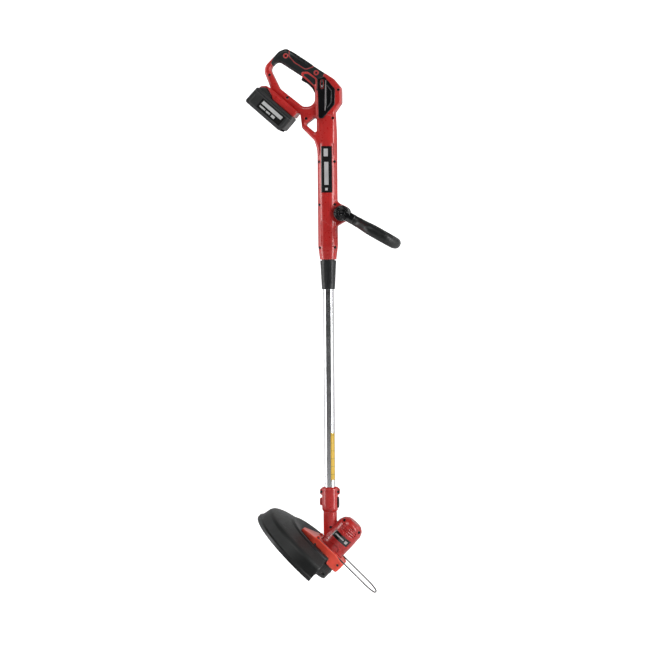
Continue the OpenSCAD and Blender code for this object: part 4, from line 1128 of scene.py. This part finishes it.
lead = coil("coiled_lead", 1.7, 7.6, 387, 596, 27)
finished("coiled_lead", lead, "handle", SOFT_BLACK)
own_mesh(lead)
spring = coil("feed_spring", 0.6, 7.2, -321.1, -312.7, 4.5, from_head)
finished("feed_spring", spring, "spool_head", STEEL)
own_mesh(spring)

# ---- CAD nodes whose shape is right, with finer edges and materials ----

KEPT = (
    (STEEL, 0, "trigger_spring"), (STEEL, 0.1, "cutter_blade"), (STEEL, 0.5, "motor_can"),
    (STEEL, 0.2, "trigger_pin motor_bearing line_eyelets"), (STEEL, 0.3, "aux_bolt drive_shaft"),
    (WIRE_STEEL, 0, "wire_guide"), (ALUMINIUM, 0, "shaft_tube"), (YELLOW, 0, "warning_strip"),
    (DARK_GREY, 0.3, "collet swivel_spigot spool_reel"), (DARK_GREY, 0.4, "terminal_block tube_end_ring"),
    (DARK_GREY, 0.5, "trigger_switch"), (BOARD_GREEN, 0.2, "control_board battery_board"),
    (CELL_WRAP, 0.6, "battery_cells"), (SOFT_BLACK, 0, "motor_lead"), (NYLON, 0.2, "cutting_line"))

for node, material, edge in ((node, m, e) for m, e, names in KEPT for node in names.split()):
    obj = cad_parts[node]
    for slot in obj.material_slots:
        slot.material = material
    if edge:
        bevel = obj.modifiers.new("edges", "BEVEL")
        bevel.width = edge * MM
        bevel.segments = 2
        bevel.limit_method = "ANGLE"
        bevel.angle_limit = math.radians(35)


# ---- Camera, light and floor ----

VIEW_AZIMUTH = 7.0
VIEW_DISTANCE = 5.5
EYE_HEIGHT = 0.235
VIEW_WIDTH = 1.5246
AIM = Vector((-0.0136, 0, 0.1534))
ROLL = -0.45
LIT_POINT = Vector((0, 0, 0.15))


def add_camera():
    data = bpy.data.cameras.new("camera")
    data.sensor_width = 36
    data.lens = data.sensor_width * VIEW_DISTANCE / VIEW_WIDTH
    data.clip_end = 50
    camera = in_scene("camera", data)
    a = math.radians(VIEW_AZIMUTH)
    eye = Vector((AIM.x + math.sin(a) * VIEW_DISTANCE, AIM.y - math.cos(a) * VIEW_DISTANCE, EYE_HEIGHT))
    camera.location = eye
    turn = (AIM - eye).to_track_quat("-Z", "Y").to_euler()
    camera.rotation_euler = turn
    camera.rotation_euler.rotate_axis("Z", math.radians(ROLL))
    bpy.context.scene.camera = camera


def add_light(name, place, size, watts):
    data = bpy.data.lights.new(name, "AREA")
    data.shape = "RECTANGLE"
    data.size, data.size_y = size
    data.energy = watts
    light = in_scene(name, data)
    light.location = place
    light.rotation_euler = (LIT_POINT - Vector(place)).to_track_quat("-Z", "Y").to_euler()


def seen_or_lit(nodes, links, seen, lit):
    """One strength for the background as it is seen, and a lower one with which it lights the part."""
    path = nodes.new("ShaderNodeLightPath")
    return ranged(nodes, links, path.outputs["Is Camera Ray"], lit, seen, 0, 1)


def add_backdrop():
    """Pale floor that curves up into a wall well behind the object."""
    ground = cad_low.z - 0.002
    wall, bend, half = 3.4, 1.4, 9.0
    profile = [(-9.0, ground), (wall - bend, ground)]
    for i in range(1, 13):
        a = math.pi / 2 * i / 12
        profile.append((wall - bend + bend * math.sin(a), ground + bend * (1 - math.cos(a))))
    profile.append((wall, ground + 6))
    vertices = [(x, y, z) for y, z in profile for x in (-half, half)]
    faces = [(2 * i, 2 * i + 1, 2 * i + 3, 2 * i + 2) for i in range(len(profile) - 1)]
    mesh = bpy.data.meshes.new("backdrop")
    mesh.from_pydata(vertices, [], faces)
    mesh.shade_smooth()
    backdrop = in_scene("backdrop", mesh)
    material, nodes, links, shader, where = new_material("backdrop_paper")
    body = mixed(nodes, links, noise(nodes, links, where, 400), (0.88, 0.88, 0.88), (0.9, 0.9, 0.9))
    links.new(body, shader.inputs["Base Color"])
    shader.inputs["Roughness"].default_value = 0.95
    shader.inputs["Emission Color"].default_value = (1, 1, 1, 1)
    links.new(seen_or_lit(nodes, links, BACKDROP_SEEN, BACKDROP_LIGHT), shader.inputs["Emission Strength"])
    mesh.materials.append(material)


def add_world():
    world = bpy.data.worlds.new("studio")
    bpy.context.scene.world = world
    world.use_nodes = True
    nodes, links = world.node_tree.nodes, world.node_tree.links
    background = nodes["Background"]
    background.inputs["Color"].default_value = (1, 1, 1, 1)
    links.new(seen_or_lit(nodes, links, WORLD_SEEN, WORLD_LIGHT), background.inputs["Strength"])


WORLD_SEEN, WORLD_LIGHT = 1.05, 0.04
BACKDROP_SEEN, BACKDROP_LIGHT = 1.0, 0.1

add_camera()
add_world()
add_backdrop()
for light in (
        ("left", (-2.1, -0.45, 0.4), (0.7, 2.6), 34), ("right", (2.1, -0.75, 0.4), (0.5, 2.6), 44),
        ("top", (-0.4, -1.7, 2.3), (1.2, 1.0), 18), ("left_rim", (-1.6, 0.6, 0.3), (0.5, 2.4), 5),
        ("right_rim", (1.6, 0.6, 0.3), (0.5, 2.4), 5)):
    add_light(*light)
bpy.context.scene.view_settings.view_transform = "Standard"
